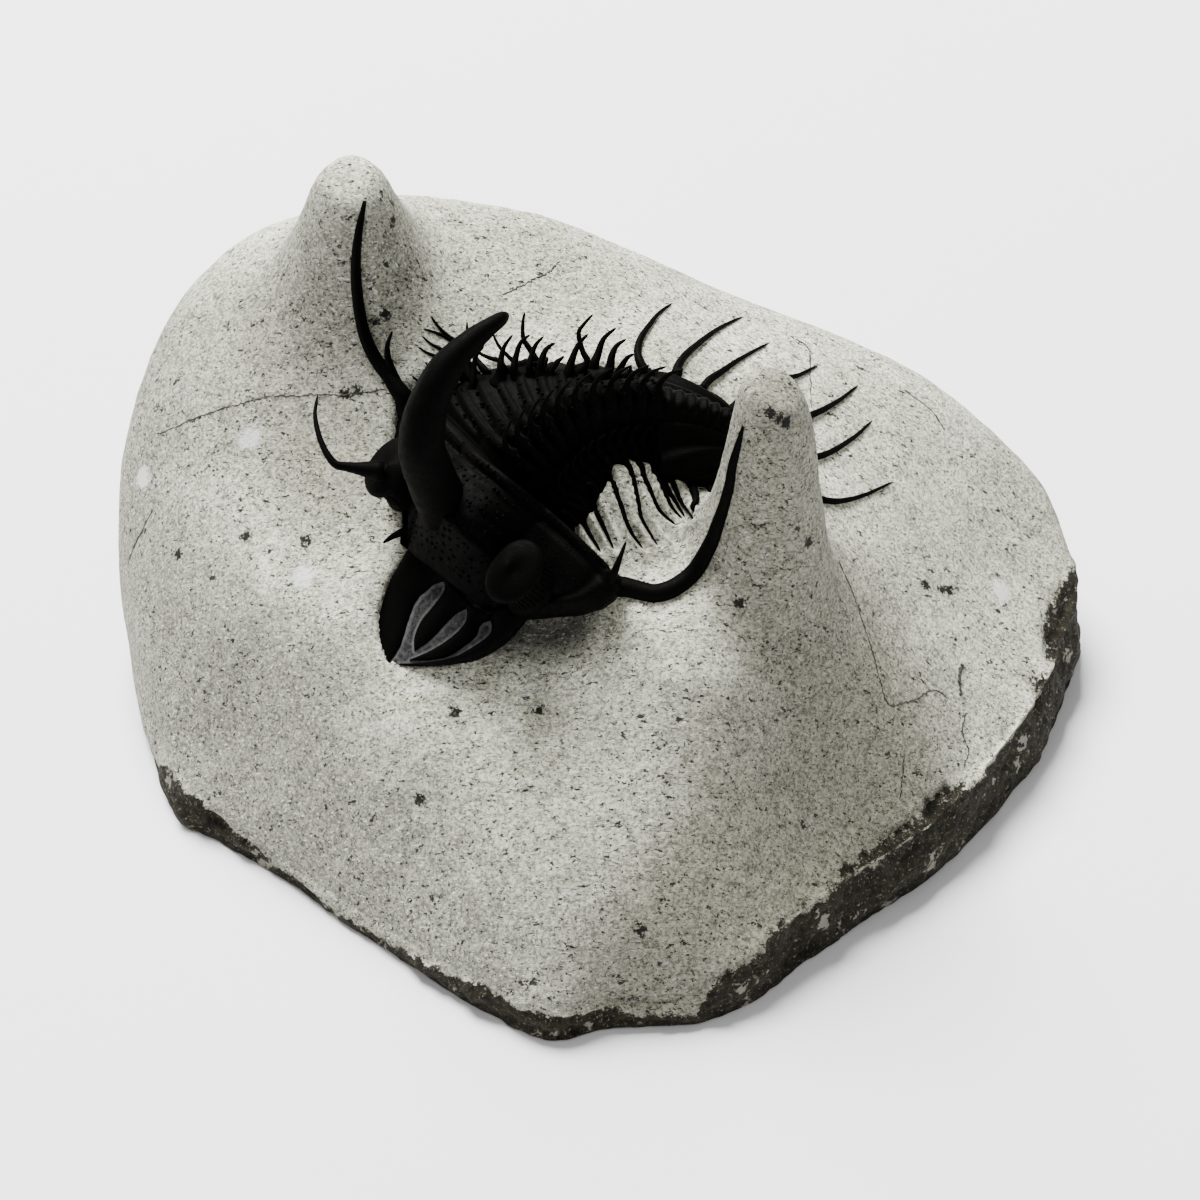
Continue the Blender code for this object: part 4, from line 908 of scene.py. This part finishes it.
def snout_fill():
    """Pale matrix left in the slits between the prongs, and how near each point is to one."""
    rows, columns, below = 110, 90, 25
    low, high = FILL_SPAN
    left = flat_path(PRONG_EDGES[0][0], rows)[:, None]
    right = flat_path(PRONG_EDGES[3][1], rows)[:, None]
    across = left + (right - left) * np.linspace(low, high, columns)[:, None]
    level = FILL_HEIGHT * (1 - 0.75 * np.linspace(0, 1, rows))[:, None]
    top = head_point(across[..., 0], across[..., 1], level)
    across_low = left + (right - left) * np.linspace(high, low, below)[:, None]
    under = head_point(across_low[..., 0], across_low[..., 1], -FILL_DEPTH)
    top[..., 2] += 0.12 * noise_at(top.reshape(-1, 3), 0.8).reshape(rows, columns)
    edges = [edge for prong in PRONG_EDGES for edge in prong][1:-1]
    beside = [distance_to_line(across[..., :2], flat_path(edge, 40)) for edge in edges]
    rim = 1 - smoothstep(0.1, 0.42, np.min(beside, axis=0))
    shape = Shape()
    shape.add(*loft(np.concatenate([top, under], axis=1)))
    return shape, np.append(np.pad(rim, ((0, 0), (0, below))), (0, 0))


def horn(shape):
    """The great curved horn on the forehead."""
    path = smooth_path(HORN, 60)
    radii = np.pad(spread(HORN_RADII, 60), 4, mode="edge")
    radii = np.convolve(radii, np.ones(9) / 9, mode="valid")
    radii[-3:] *= (0.95, 0.8, 0.45)
    vertices, faces = tube(path, radii, sides=28, flat=0.9, up=HEAD[1])
    body = vertices[:-2]
    outward = unit(body - path.repeat(28, axis=0))
    body += 0.10 * noise_at(body, 2.2)[:, None] * outward
    shape.add(vertices, faces)


# A spine is laid on the stone where it is less than this far above it, and fully so
# after this many points.
LAID_REACH = 3.0
LAID_RUN = 4


def laid(stone, points, radii, sink=0.35):
    """A smooth path brought onto the stone, its middle above it by a share of the radius."""
    path = smooth_path(points, len(radii))
    for k in range(2, len(radii)):
        near, normal, _, _ = stone.find_nearest(Vector(path[k]))
        if (Vector(path[k]) - near).dot(normal) < LAID_REACH:
            goal = np.array(near + normal * radii[k] * sink)
            path[k] += (goal - path[k]) * min(1.0, (k - 1) / LAID_RUN)
    path[3:-1] += 0.3 * (path[2:-2] + path[4:] - 2 * path[3:-1])
    return path


def head_spines(shape, stone):
    """The two long cheek spines and the small spines of the head."""
    for route, sizes in ((GENAL_NEAR, GENAL_NEAR_RADII), (GENAL_FAR, GENAL_FAR_RADII)):
        radii = spread(sizes, 70)
        shape.add(*tube(laid(stone, route, radii), radii, sides=12))
    for path in HEAD_SPINES:
        radii = spine_radii(24, 0.56, 0.12, 2.0)
        shape.add(*tube(smooth_path(path, 24), radii))


def make_head(stone, material):
    shape = Shape()
    head_shell(shape)
    head_tubercles(shape)
    head_eye(shape, "far")
    head_eye(shape, "near")
    snout(shape)
    horn(shape)
    head_spines(shape, stone)
    return make_piece("head", shape, material, ["cephalon"])


def thorax_half(s, u):
    """Width across the segment at s, from its middle to the side that u is on."""
    return np.where(u > 0, np.interp(s, THORAX_STATIONS, THORAX_NEAR),
                    np.interp(s, THORAX_STATIONS, THORAX_FAR))


def thorax_height(u, phase):
    """Height across a segment, from its front edge at phase 0 to its rear at 1."""
    swell = 0.82 + 0.24 * smoothstep(0, 0.7, phase) * (1 - smoothstep(0.93, 1.0, phase))
    axis = AXIS_HEIGHT * np.exp(-np.abs(u / AXIS_HALF_WIDTH) ** 3)
    height = (axis + SIDE_HEIGHT - SIDE_DROOP * np.abs(u) ** 2.4) * swell
    height -= 0.5 * bell(np.abs(u), 0.4, 0.045)
    side = smoothstep(0.42, 0.5, np.abs(u))
    furrow = 0.35 + 0.3 * (np.abs(u) - 0.4)
    return height - 0.4 * side * bell(phase, furrow, 0.12)


def tucked_row(u, share, width, height):
    """A row of the thorax that lies forward of its first segment, under the head."""
    tuck = THORAX_TUCK[0] + (THORAX_TUCK[1] - THORAX_TUCK[0]) * u * u
    narrow = np.where(u > 0, 1 - 0.20 * share, 1)
    return body_point(thorax_half(0, u) * u * width * narrow,
                      THORAX_START - share * tuck + THORAX_SWEEP * u * u, height)


def thorax_shell():
    """Rings round the thorax, with a notch between the segments' ends."""
    u = np.linspace(-1, 1, 71)
    low = UNDERSIDE
    sag = -SHELL_SKIRT - 0.55 * SIDE_DROOP * low ** 2
    rings = []
    for share in (1, 0.66, 0.33):
        top = tucked_row(u, share, 1, thorax_height(u, 0) - 0.4 - 0.7 * share)
        rings.append(np.vstack([top, tucked_row(low, share, UNDER_WIDTH, sag)]))
    for k in range(SEGMENTS):
        for phase in SEGMENT_PHASES:
            s = THORAX_START + SEGMENT_LENGTH * (k + phase)
            notch = 0.5 * (1 - math.sin(math.pi * phase)) * smoothstep(0.8, 1, np.abs(u))
            top = body_point((thorax_half(s, u) - notch) * u, s + THORAX_SWEEP * u * u,
                             thorax_height(u, phase))
            under = body_point(thorax_half(s, low) * low * UNDER_WIDTH,
                               s + THORAX_SWEEP * low ** 2, sag)
            rings.append(np.vstack([top, under]))
    return np.array(rings)


def upright(shape, base, rise, back, length, root):
    """A free-standing spine that leaves the body and curves towards the tail."""
    path = smooth_path([base - 0.5 * rise, base + 0.35 * length * rise,
                        base + length * (0.72 * rise + 0.16 * back),
                        base + length * (0.95 * rise + 0.5 * back)], 20)
    shape.add(*tube(path, spine_radii(20, root, 0.1, 2.3), sides=9, up=HEAD[1]))


def rooted(shell, point, depth=0.7):
    """A point just inside a shield, under its surface nearest to the given point."""
    near, normal, _, _ = shell.find_nearest(Vector(point))
    away = Vector(point) - near
    inward = normal if normal.dot(away) < 0 else -normal
    return np.array(near + depth * inward)


def thorax_spines(shape, stone, shell):
    """Every segment's axial, side-lobe and tip spines."""
    stations, _, _, ups, aheads = TABLE
    for k in range(SEGMENTS):
        s = THORAX_START + SEGMENT_LENGTH * (k + 0.7)
        i = int(np.argmin(np.abs(stations - s)))
        up, back = ups[i], -aheads[i]
        size = 1 - 0.03 * k
        base = body_point(0.0, s, thorax_height(0.0, 0.7) - 0.2)
        upright(shape, base, up, back, 5.0 * size, 0.4)
        a = 0.6 * thorax_half(s, 1)
        base = body_point(a, s + THORAX_SWEEP * 0.36, thorax_height(0.6, 0.7) - 0.2)
        upright(shape, base, up, back, 2.4 * size, 0.32)
        for u in np.arange(-0.9, 0.91, 0.1):
            spot = u + RANDOM.uniform(-0.03, 0.03)
            a = float(thorax_half(s, spot)) * spot
            place = s + THORAX_SWEEP * spot ** 2 - SEGMENT_LENGTH * RANDOM.uniform(0, 0.35)
            add_tubercle(shape, body_point(a, place, thorax_height(spot, 0.6)),
                         RANDOM.uniform(0.12, 0.24))
    for thickness, *route in UPRIGHTS:
        path = smooth_path([rooted(shell, route[0]), *route], 24)
        shape.add(*tube(path, spine_radii(24, thickness * 1.45, 0.12, 2.3), sides=9, up=(1, 0, 0)))
    for line in NEAR_TIPS:
        radii = spine_radii(26, 0.46, 0.1, 1.3)
        path = laid(stone, [rooted(shell, line[0]), *line[1:]], radii, 0.4)
        shape.add(*tube(path, radii, sides=8))
    for line in FAR_TIPS:
        radii = spine_radii(20, 0.36, 0.08, 1.2)
        path = laid(stone, [rooted(shell, line[0]), *line], radii, 0.4)
        shape.add(*tube(path, radii, sides=7))


def make_thorax(stone, material):
    shape = Shape()
    skin = loft(thorax_shell())
    shape.add(*skin)
    shell = surface(*skin)
    thorax_spines(shape, stone, shell)
    return make_piece("thorax_shield", shape, material, ["thorax"])


def tail_half(u):
    """The tail shield's greatest width to the side that u is on."""
    return np.where(u > 0, TAIL_NEAR, TAIL_FAR)


def tail_shell():
    """The half-round tail shield with its axis and fanned ribs."""
    u = np.linspace(-1, 1, 81)
    low = UNDERSIDE
    rings = []
    for v in np.linspace(0, 1, 50):
        s = TAIL_START + TAIL_LENGTH * v
        taper, low_taper = (np.sqrt(np.clip(1 - (0.97 * v) ** np.where(side < 0, 4, 2.6), 0, 1))
                            for side in (u, low))
        dome = math.sqrt(max(1 - (0.93 * v) ** 3, 0))
        axis_u = 0.3 * (1 - 0.75 * v)
        axis = 1.5 * np.exp(-np.abs(u * taper / axis_u) ** 4) * (1 - smoothstep(0.75, 0.9, v))
        ring_wave = 0.18 * np.cos(v * 11 * 2 * math.pi)
        lift = (1.2 + 2.4 * (1 - u * u)) * dome + axis * (1 + ring_wave)
        fan = np.arctan2(u * taper * TAIL_FAR, TAIL_LENGTH * (1.02 - v) * 0.9 + 1.5)
        on_side = smoothstep(axis_u, axis_u + 0.12, np.abs(u * taper))
        ribs = 0.45 * np.cos(fan * 2 * math.pi / 0.27) * on_side * smoothstep(1.0, 0.9, np.abs(u))
        top = body_point(tail_half(u) * taper * u, s + THORAX_SWEEP * u * u * (1 - v),
                         lift + ribs - TAIL_DROOP * u * u)
        under = body_point(tail_half(low) * low_taper * low * UNDER_WIDTH,
                           s + THORAX_SWEEP * low ** 2 * (1 - v),
                           -SHELL_SKIRT - TAIL_DROOP * low ** 2)
        rings.append(np.vstack([top, under]))
    return np.array(rings)


def make_tail(stone, material):
    shape = Shape()
    skin = loft(tail_shell())
    shape.add(*skin)
    shell = surface(*skin)
    for line, (root, tip) in zip(TAIL_SPINES, TAIL_SPINE_RADII):
        radii = spine_radii(40, root, tip, 1.25)
        radii[:5] *= TAIL_SPINE_BUDS
        path = laid(stone, [rooted(shell, line[0], 1.0), *line], radii, 0.7)
        shape.add(*tube(path, radii, sides=14, up=(1, -0.6, 0)))
    return make_piece("tail_shield", shape, material, ["pygidium"])


# ------------------------------------------------------------------- materials
class Nodes:
    """Short ways to add and join shader nodes in one material."""

    def __init__(self, name):
        self.material = bpy.data.materials.new(name)
        self.material.use_nodes = True
        self.tree = self.material.node_tree
        self.shader = self.tree.nodes["Principled BSDF"]
        self.place = self.scaled(self.add("TexCoord", "Object", {}), 1 / MM)

    def put(self, socket, value):
        """Joins a socket to another node's output, or sets it to a plain value."""
        if isinstance(value, bpy.types.NodeSocket):
            self.tree.links.new(value, socket)
        elif value is not None:
            socket.default_value = value

    def add(self, kind, output, inputs, **settings):
        """A new node with its settings and inputs; gives the wanted output."""
        node = self.tree.nodes.new("ShaderNode" + kind)
        for name, value in settings.items():
            setattr(node, name, value)
        for name, value in inputs.items():
            self.put(node.inputs[name], value)
        return node.outputs[output]

    def maths(self, operation, a, b):
        return self.add("Math", 0, {0: a, 1: b}, operation=operation)

    def vector(self, operation, a, b, output=0):
        return self.add("VectorMath", output, {0: a, 1: b}, operation=operation)

    def scaled(self, a, scale):
        return self.add("VectorMath", 0, {0: a, "Scale": scale}, operation="SCALE")

    def stretched(self, turned, scale):
        """The place on the surface, turned and then stretched."""
        return self.add("Mapping", 0, {"Vector": self.place, "Rotation": turned, "Scale": scale})

    def noise(self, scale, detail=4.0, rough=0.55, vector=None, warp=0.0, output="Fac"):
        return self.add("TexNoise", output, {
            "Vector": vector or self.place, "Scale": scale, "Detail": detail,
            "Roughness": rough, "Distortion": warp})

    def edges(self, scale, vector):
        """Distance to the nearest edge in a pattern of cells."""
        return self.add("TexVoronoi", "Distance", {"Vector": vector, "Scale": scale},
                        feature="DISTANCE_TO_EDGE")

    def between(self, value, low, high, to_low=0.0, to_high=1.0):
        """Eases from one level to another as the value goes from low to high."""
        return self.add("MapRange", "Result", {
            "Value": value, "From Min": low, "From Max": high, "To Min": to_low,
            "To Max": to_high}, interpolation_type="SMOOTHSTEP")

    def mix(self, amount, a, b, blend="MIX"):
        return self.add("Mix", "Result", {"Factor": amount, "A": a, "B": b},
                        data_type="RGBA", blend_type=blend)

    def tint(self, colour, amount, strength, target):
        """The colour, drawn towards the target by the amount times the strength."""
        return self.mix(self.maths("MULTIPLY", amount, strength), colour, target)

    def attribute(self, name):
        return self.add("Attribute", "Fac", {}, attribute_name=name)

    def bump(self, height, distance, strength):
        return self.add("Bump", "Normal", {
            "Strength": strength, "Distance": distance, "Height": height})

    def set(self, name, value):
        self.put(self.shader.inputs[name], value)


def grey(value, blue=0.92, warm=1.0):
    """A near-grey colour, with its blue and its red as shares of its green."""
    return (value * warm, value, value * blue, 1)


def flecks(n, scale, low, high, turn, stretch):
    """Scattered ragged flecks: the peaks of a stretched noise."""
    return n.between(n.noise(scale, 3.0, 0.68, n.stretched(turn, stretch)), low, high)


def spots(n, places, reach, ragged):
    """One where the surface is near any of the given points in the drawing frame."""
    total = None
    for place in places:
        distance = n.vector("DISTANCE", n.place, np.array(place) - MIDDLE, "Value")
        far = n.maths("ADD", distance, ragged)
        here = n.between(far, reach * 0.55, reach, 1.0, 0.0)
        total = here if total is None else n.maths("MAXIMUM", total, here)
    return total


def carved_colour(n):
    """Pale grey limestone with a fine stipple, scattered dark flecks and warm mottling; painted
    shade darkens its steep sides and parts of its flank, and a painted shadow lies under the near
    cheek.
    """
    cloud = n.noise(0.09, 4.0, 0.55, warp=0.6)
    colour = n.mix(n.between(cloud, 0.32, 0.68), grey(0.47, 0.77), grey(0.64, 0.81))
    mottle = n.noise(0.55, 4.0, 0.6, warp=0.8)
    colour = n.mix(n.between(mottle, 0.45, 0.70, 0.0, 0.40), colour, grey(0.34, 0.76, 1.02))
    colour = n.mix(n.between(mottle, 0.42, 0.30, 0.0, 0.45), colour, grey(0.64, 0.88))
    # The darkened patches: a brown stain that also stands for painted shade on the right flank and
    # the right column's front.
    stain_and_shade = n.attribute("stain_and_shade")
    brown = n.mix(n.noise(0.8, 4.0, 0.65), grey(0.13, 0.66, 1.05), grey(0.27, 0.74, 1.03))
    colour = n.tint(colour, stain_and_shade, 0.85, brown)
    # Painted shade: steep sides, the columns' fronts most of all, are darkened as if turned from
    # the light.
    colour = n.tint(colour, n.attribute("steep_shade"), 0.75, grey(0.20, 0.80, 1.01))
    stipple = n.noise(2.7, 4.0, 0.8)
    # Painted shadow: the stone darkened under the near cheek.
    colour = n.tint(colour, n.attribute("cheek_shadow"), 0.93, grey(0.025, 0.86))
    grains = n.between(stipple, 0.40, 0.60, -1.0, 1.0)
    blotch = n.between(n.noise(0.8, 4.0, 0.7), 0.38, 0.62, -0.16, 0.16)
    level = n.maths("ADD", n.maths("ADD", 1.0, blotch), n.maths("MULTIPLY", grains, 0.42))
    level = n.add("CombineColor", 0, {0: level, 1: level, 2: level})
    colour = n.mix(1.0, colour, level, "MULTIPLY")
    pits = flecks(n, 1.9, 0.60, 0.635, (0.5, 0.3, 0.6), (0.9, 1.6, 1.2))
    colour = n.tint(colour, pits, 0.95, grey(0.015, 0.86))
    small = flecks(n, 3.1, 0.63, 0.66, (0.2, 0.6, 0.3), (0.8, 1.5, 1.3))
    colour = n.tint(colour, small, 0.95, grey(0.012, 0.86))
    crowd = n.between(n.noise(0.12, 2.0), 0.4, 0.6, 0.0, 0.035)
    large = n.noise(0.85, 3.0, 0.7, n.stretched((0.1, 0.4, 0.7), (0.8, 1.6, 1.2)))
    dark = n.between(n.maths("ADD", large, crowd), 0.645, 0.675)
    colour = n.tint(colour, dark, 0.95, grey(0.012, 0.86))
    needle = n.noise(1.1, 2.0, 0.6, n.stretched((0.3, 0.5, 0.9), (0.5, 5.5, 3.5)))
    colour = n.mix(n.between(needle, 0.64, 0.69, 0.0, 0.8), colour, grey(0.05, 0.88))
    pale = n.noise(1.8, 3.0, 0.7, n.stretched((0.4, 0.1, 0.6), (0.6, 2.2, 1.6)))
    # Pale streaks are held back where the stone is darkened by stain, painted shade and the painted
    # cheek shadow.
    shaded = n.maths("MAXIMUM", stain_and_shade, n.attribute("cheek_shadow"))
    kept = n.maths("SUBTRACT", 1.0, n.maths("MULTIPLY", shaded, 0.7))
    colour = n.tint(colour, n.between(pale, 0.595, 0.645, 0.0, 0.7), kept, grey(0.92, 0.94))
    ragged = n.maths("MULTIPLY", n.maths("SUBTRACT", n.noise(2.2, 4.0, 0.75), 0.5), 2.9)
    colour = n.tint(colour, spots(n, PALE_SPOTS, 1.5, ragged), 0.75, grey(0.78, 0.97))
    colour = n.tint(colour, spots(n, DARK_SPOTS, 0.72, ragged), 0.98, grey(0.005, 0.80, 1.02))
    return colour, stipple, pits


def crust_colour(n):
    """Brown-black natural rind with a few broken pale veins and flecks."""
    colour = n.mix(n.between(n.noise(1.1, 6.0, 0.75), 0.34, 0.66),
                   (0.0015, 0.0013, 0.0007, 1), (0.024, 0.021, 0.012, 1))
    wander = n.noise(0.22, 2.0, 0.5, output="Color")
    vein = n.edges(0.13, n.vector("ADD", n.place, n.scaled(wander, 9.0)))
    kept = n.between(n.noise(0.30, 3.0, 0.6), 0.53, 0.60)
    width = n.maths("MULTIPLY", n.noise(1.2, 3.0, 0.7), 0.04)
    line = n.between(n.maths("SUBTRACT", vein, width), -0.02, 0.012, 0.7, 0.0)
    colour = n.tint(colour, line, kept, (0.20, 0.19, 0.15, 1))
    fleck = n.noise(2.6, 4.0, 0.75)
    stippled = n.noise(2.0, 4.0, 0.7)
    colour = n.mix(n.between(fleck, 0.57, 0.66, 0.0, 0.7), colour, (0.19, 0.18, 0.13, 1))
    chipped = n.between(n.noise(0.30, 4.0, 0.7), 0.59, 0.63, 0.0, 0.8)
    return n.mix(chipped, colour, n.mix(stippled, (0.16, 0.15, 0.115, 1), (0.36, 0.35, 0.30, 1)))


def stone_material():
    n = Nodes("limestone")
    carved, stipple, pits = carved_colour(n)
    ragged = n.maths("ADD", n.attribute("crust"),
                     n.maths("MULTIPLY", n.maths("SUBTRACT", n.noise(1.3, 6.0, 0.8), 0.5), 3.0))
    amount = n.between(ragged, -0.08, 0.12)
    n.set("Base Color", n.mix(amount, carved, crust_colour(n)))
    n.set("Roughness", n.between(stipple, 0.3, 0.7, 0.82, 0.95))
    n.shader.inputs["Specular IOR Level"].default_value = 0.2
    grain = n.maths("SUBTRACT", stipple, n.maths("MULTIPLY", pits, 0.7))
    rind = n.between(n.attribute("crust"), -0.5, 0.5)
    rough = n.maths("ADD", grain, n.maths("MULTIPLY", rind, n.noise(0.9, 4.0, 0.7)))
    n.set("Normal", n.bump(rough, 0.00026, 0.8))
    return n.material


def fill_material():
    """The matrix between the snout's prongs, coloured near-black as painted shade in the narrow
    slits, and lighter along its upper edges by the prongs.
    """
    n = Nodes("slit_matrix_painted_shade")
    grain = n.noise(2.2, 4.0, 0.7)
    # Painted shade: the slits' matrix is coloured far darker than the stone it is.
    colour = n.mix(n.between(grain, 0.35, 0.68), grey(0.006, 1.0), grey(0.045, 0.98))
    pale = n.mix(grain, grey(0.05, 1.0), grey(0.17, 1.0))
    n.set("Base Color", n.tint(colour, n.attribute("rim"), 0.6, pale))
    n.shader.inputs["Roughness"].default_value = 0.9
    n.shader.inputs["Specular IOR Level"].default_value = 0.2
    n.set("Normal", n.bump(grain, 0.0001, 0.6))
    return n.material


def crack_material():
    n = Nodes("crack_shadow")
    n.set("Base Color", n.mix(n.noise(1.5, 3.0), grey(0.01, 0.85), grey(0.06, 0.85)))
    n.shader.inputs["Roughness"].default_value = 0.95
    return n.material


def fossil_material():
    """Black, faintly brown shell with a satin polish and a fine grain."""
    n = Nodes("fossil_shell")
    cloud = n.noise(0.5, 5.0, 0.6)
    colour = n.mix(cloud, (0.0006, 0.0006, 0.0006, 1), (0.0020, 0.0018, 0.0015, 1))
    grain = n.noise(4.5, 4.0, 0.65)
    colour = n.mix(n.between(grain, 0.68, 0.8, 0.0, 0.4), colour, (0.012, 0.011, 0.008, 1))
    n.set("Base Color", colour)
    n.set("Roughness", n.between(n.noise(1.2, 4.0, 0.6), 0.3, 0.7, 0.50, 0.68))
    n.shader.inputs["Specular IOR Level"].default_value = 0.02
    n.set("Normal", n.bump(grain, 0.00008, 0.5))
    return n.material


def floor_material():
    n = Nodes("floor")
    n.set("Base Color", n.mix(n.noise(0.02, 2.0), (0.94, 0.94, 0.94, 1), (0.96, 0.96, 0.96, 1)))
    n.shader.inputs["Roughness"].default_value = 0.9
    return n.material


# ----------------------------------------------------------------------- stage
# The places and sizes of the floor and the lamp are in metres, as Blender keeps them.
FLOOR_REACH = 3.0
# The floor lies a little under the block's flat base.
FLOOR_DROP = 0.0002
SKY_LEVEL = 0.55
LAMP_AT = (-0.24, 0.52, 0.9)
LAMP_SIZE = 0.6
LAMP_POWER = 48.0


def make_stage():
    data = bpy.data.meshes.new("floor")
    corners = [(x * FLOOR_REACH, y * FLOOR_REACH, 0)
               for x, y in ((-1, -1), (1, -1), (1, 1), (-1, 1))]
    data.from_pydata(corners, [], [(0, 1, 2, 3)])
    data.materials.append(floor_material())
    floor = bpy.data.objects.new("floor", data)
    floor.location.z = -FLOOR_DROP
    bpy.context.scene.collection.objects.link(floor)


def make_lights():
    """An even white sky, and one soft lamp high up behind the block's left end."""
    world = bpy.data.worlds.new("studio")
    world.use_nodes = True
    sky = world.node_tree.nodes["Background"]
    sky.inputs["Color"].default_value = (1, 1, 1, 1)
    sky.inputs["Strength"].default_value = SKY_LEVEL
    bpy.context.scene.world = world
    data = bpy.data.lights.new("overhead", "AREA")
    data.shape = "DISK"
    data.size = LAMP_SIZE
    data.energy = LAMP_POWER
    lamp = bpy.data.objects.new("overhead", data)
    lamp.location = LAMP_AT
    lamp.rotation_euler = (-Vector(LAMP_AT)).to_track_quat("-Z", "Y").to_euler()
    bpy.context.scene.collection.objects.link(lamp)


def make_camera():
    data = bpy.data.cameras.new("camera")
    data.lens = CAMERA_LENS
    data.sensor_width = 36
    data.clip_start = 0.01
    data.clip_end = 20
    camera = bpy.data.objects.new("camera", data)
    camera.location = (CAMERA_TARGET - VIEW_AHEAD * CAMERA_DISTANCE - MIDDLE) * MM
    camera.rotation_euler = (math.pi / 2 - CAMERA_ELEVATION, 0, 0)
    bpy.context.scene.collection.objects.link(camera)
    bpy.context.scene.camera = camera


def body_surfaces():
    """The shields and the snout, and how far the stone may stand inside each."""
    head = Shape()
    head_shell(head)
    prongs = snout_fill()[0]
    snout(prongs)
    surfaces = []
    for vertices, faces, sunk in ((head.points(), head.faces, 0.25),
                                  (*loft(thorax_shell()), 0.25), (*loft(tail_shell()), 0.25),
                                  (prongs.points(), prongs.faces, -0.2)):
        surfaces.append((surface(vertices, faces), sunk))
    return surfaces


make_stage()
make_lights()
make_camera()
limestone = stone_material()
shell = fossil_material()
rock = make_rock(body_surfaces(), NEAR_TIPS, limestone)
stone = surface_of(rock)
make_cracks(stone, crack_material())
make_head(stone, shell)
fill, fill_rim = snout_fill()
make_piece("snout_matrix", fill, fill_material(), [], {"rim": fill_rim})
make_thorax(stone, shell)
make_tail(stone, shell)
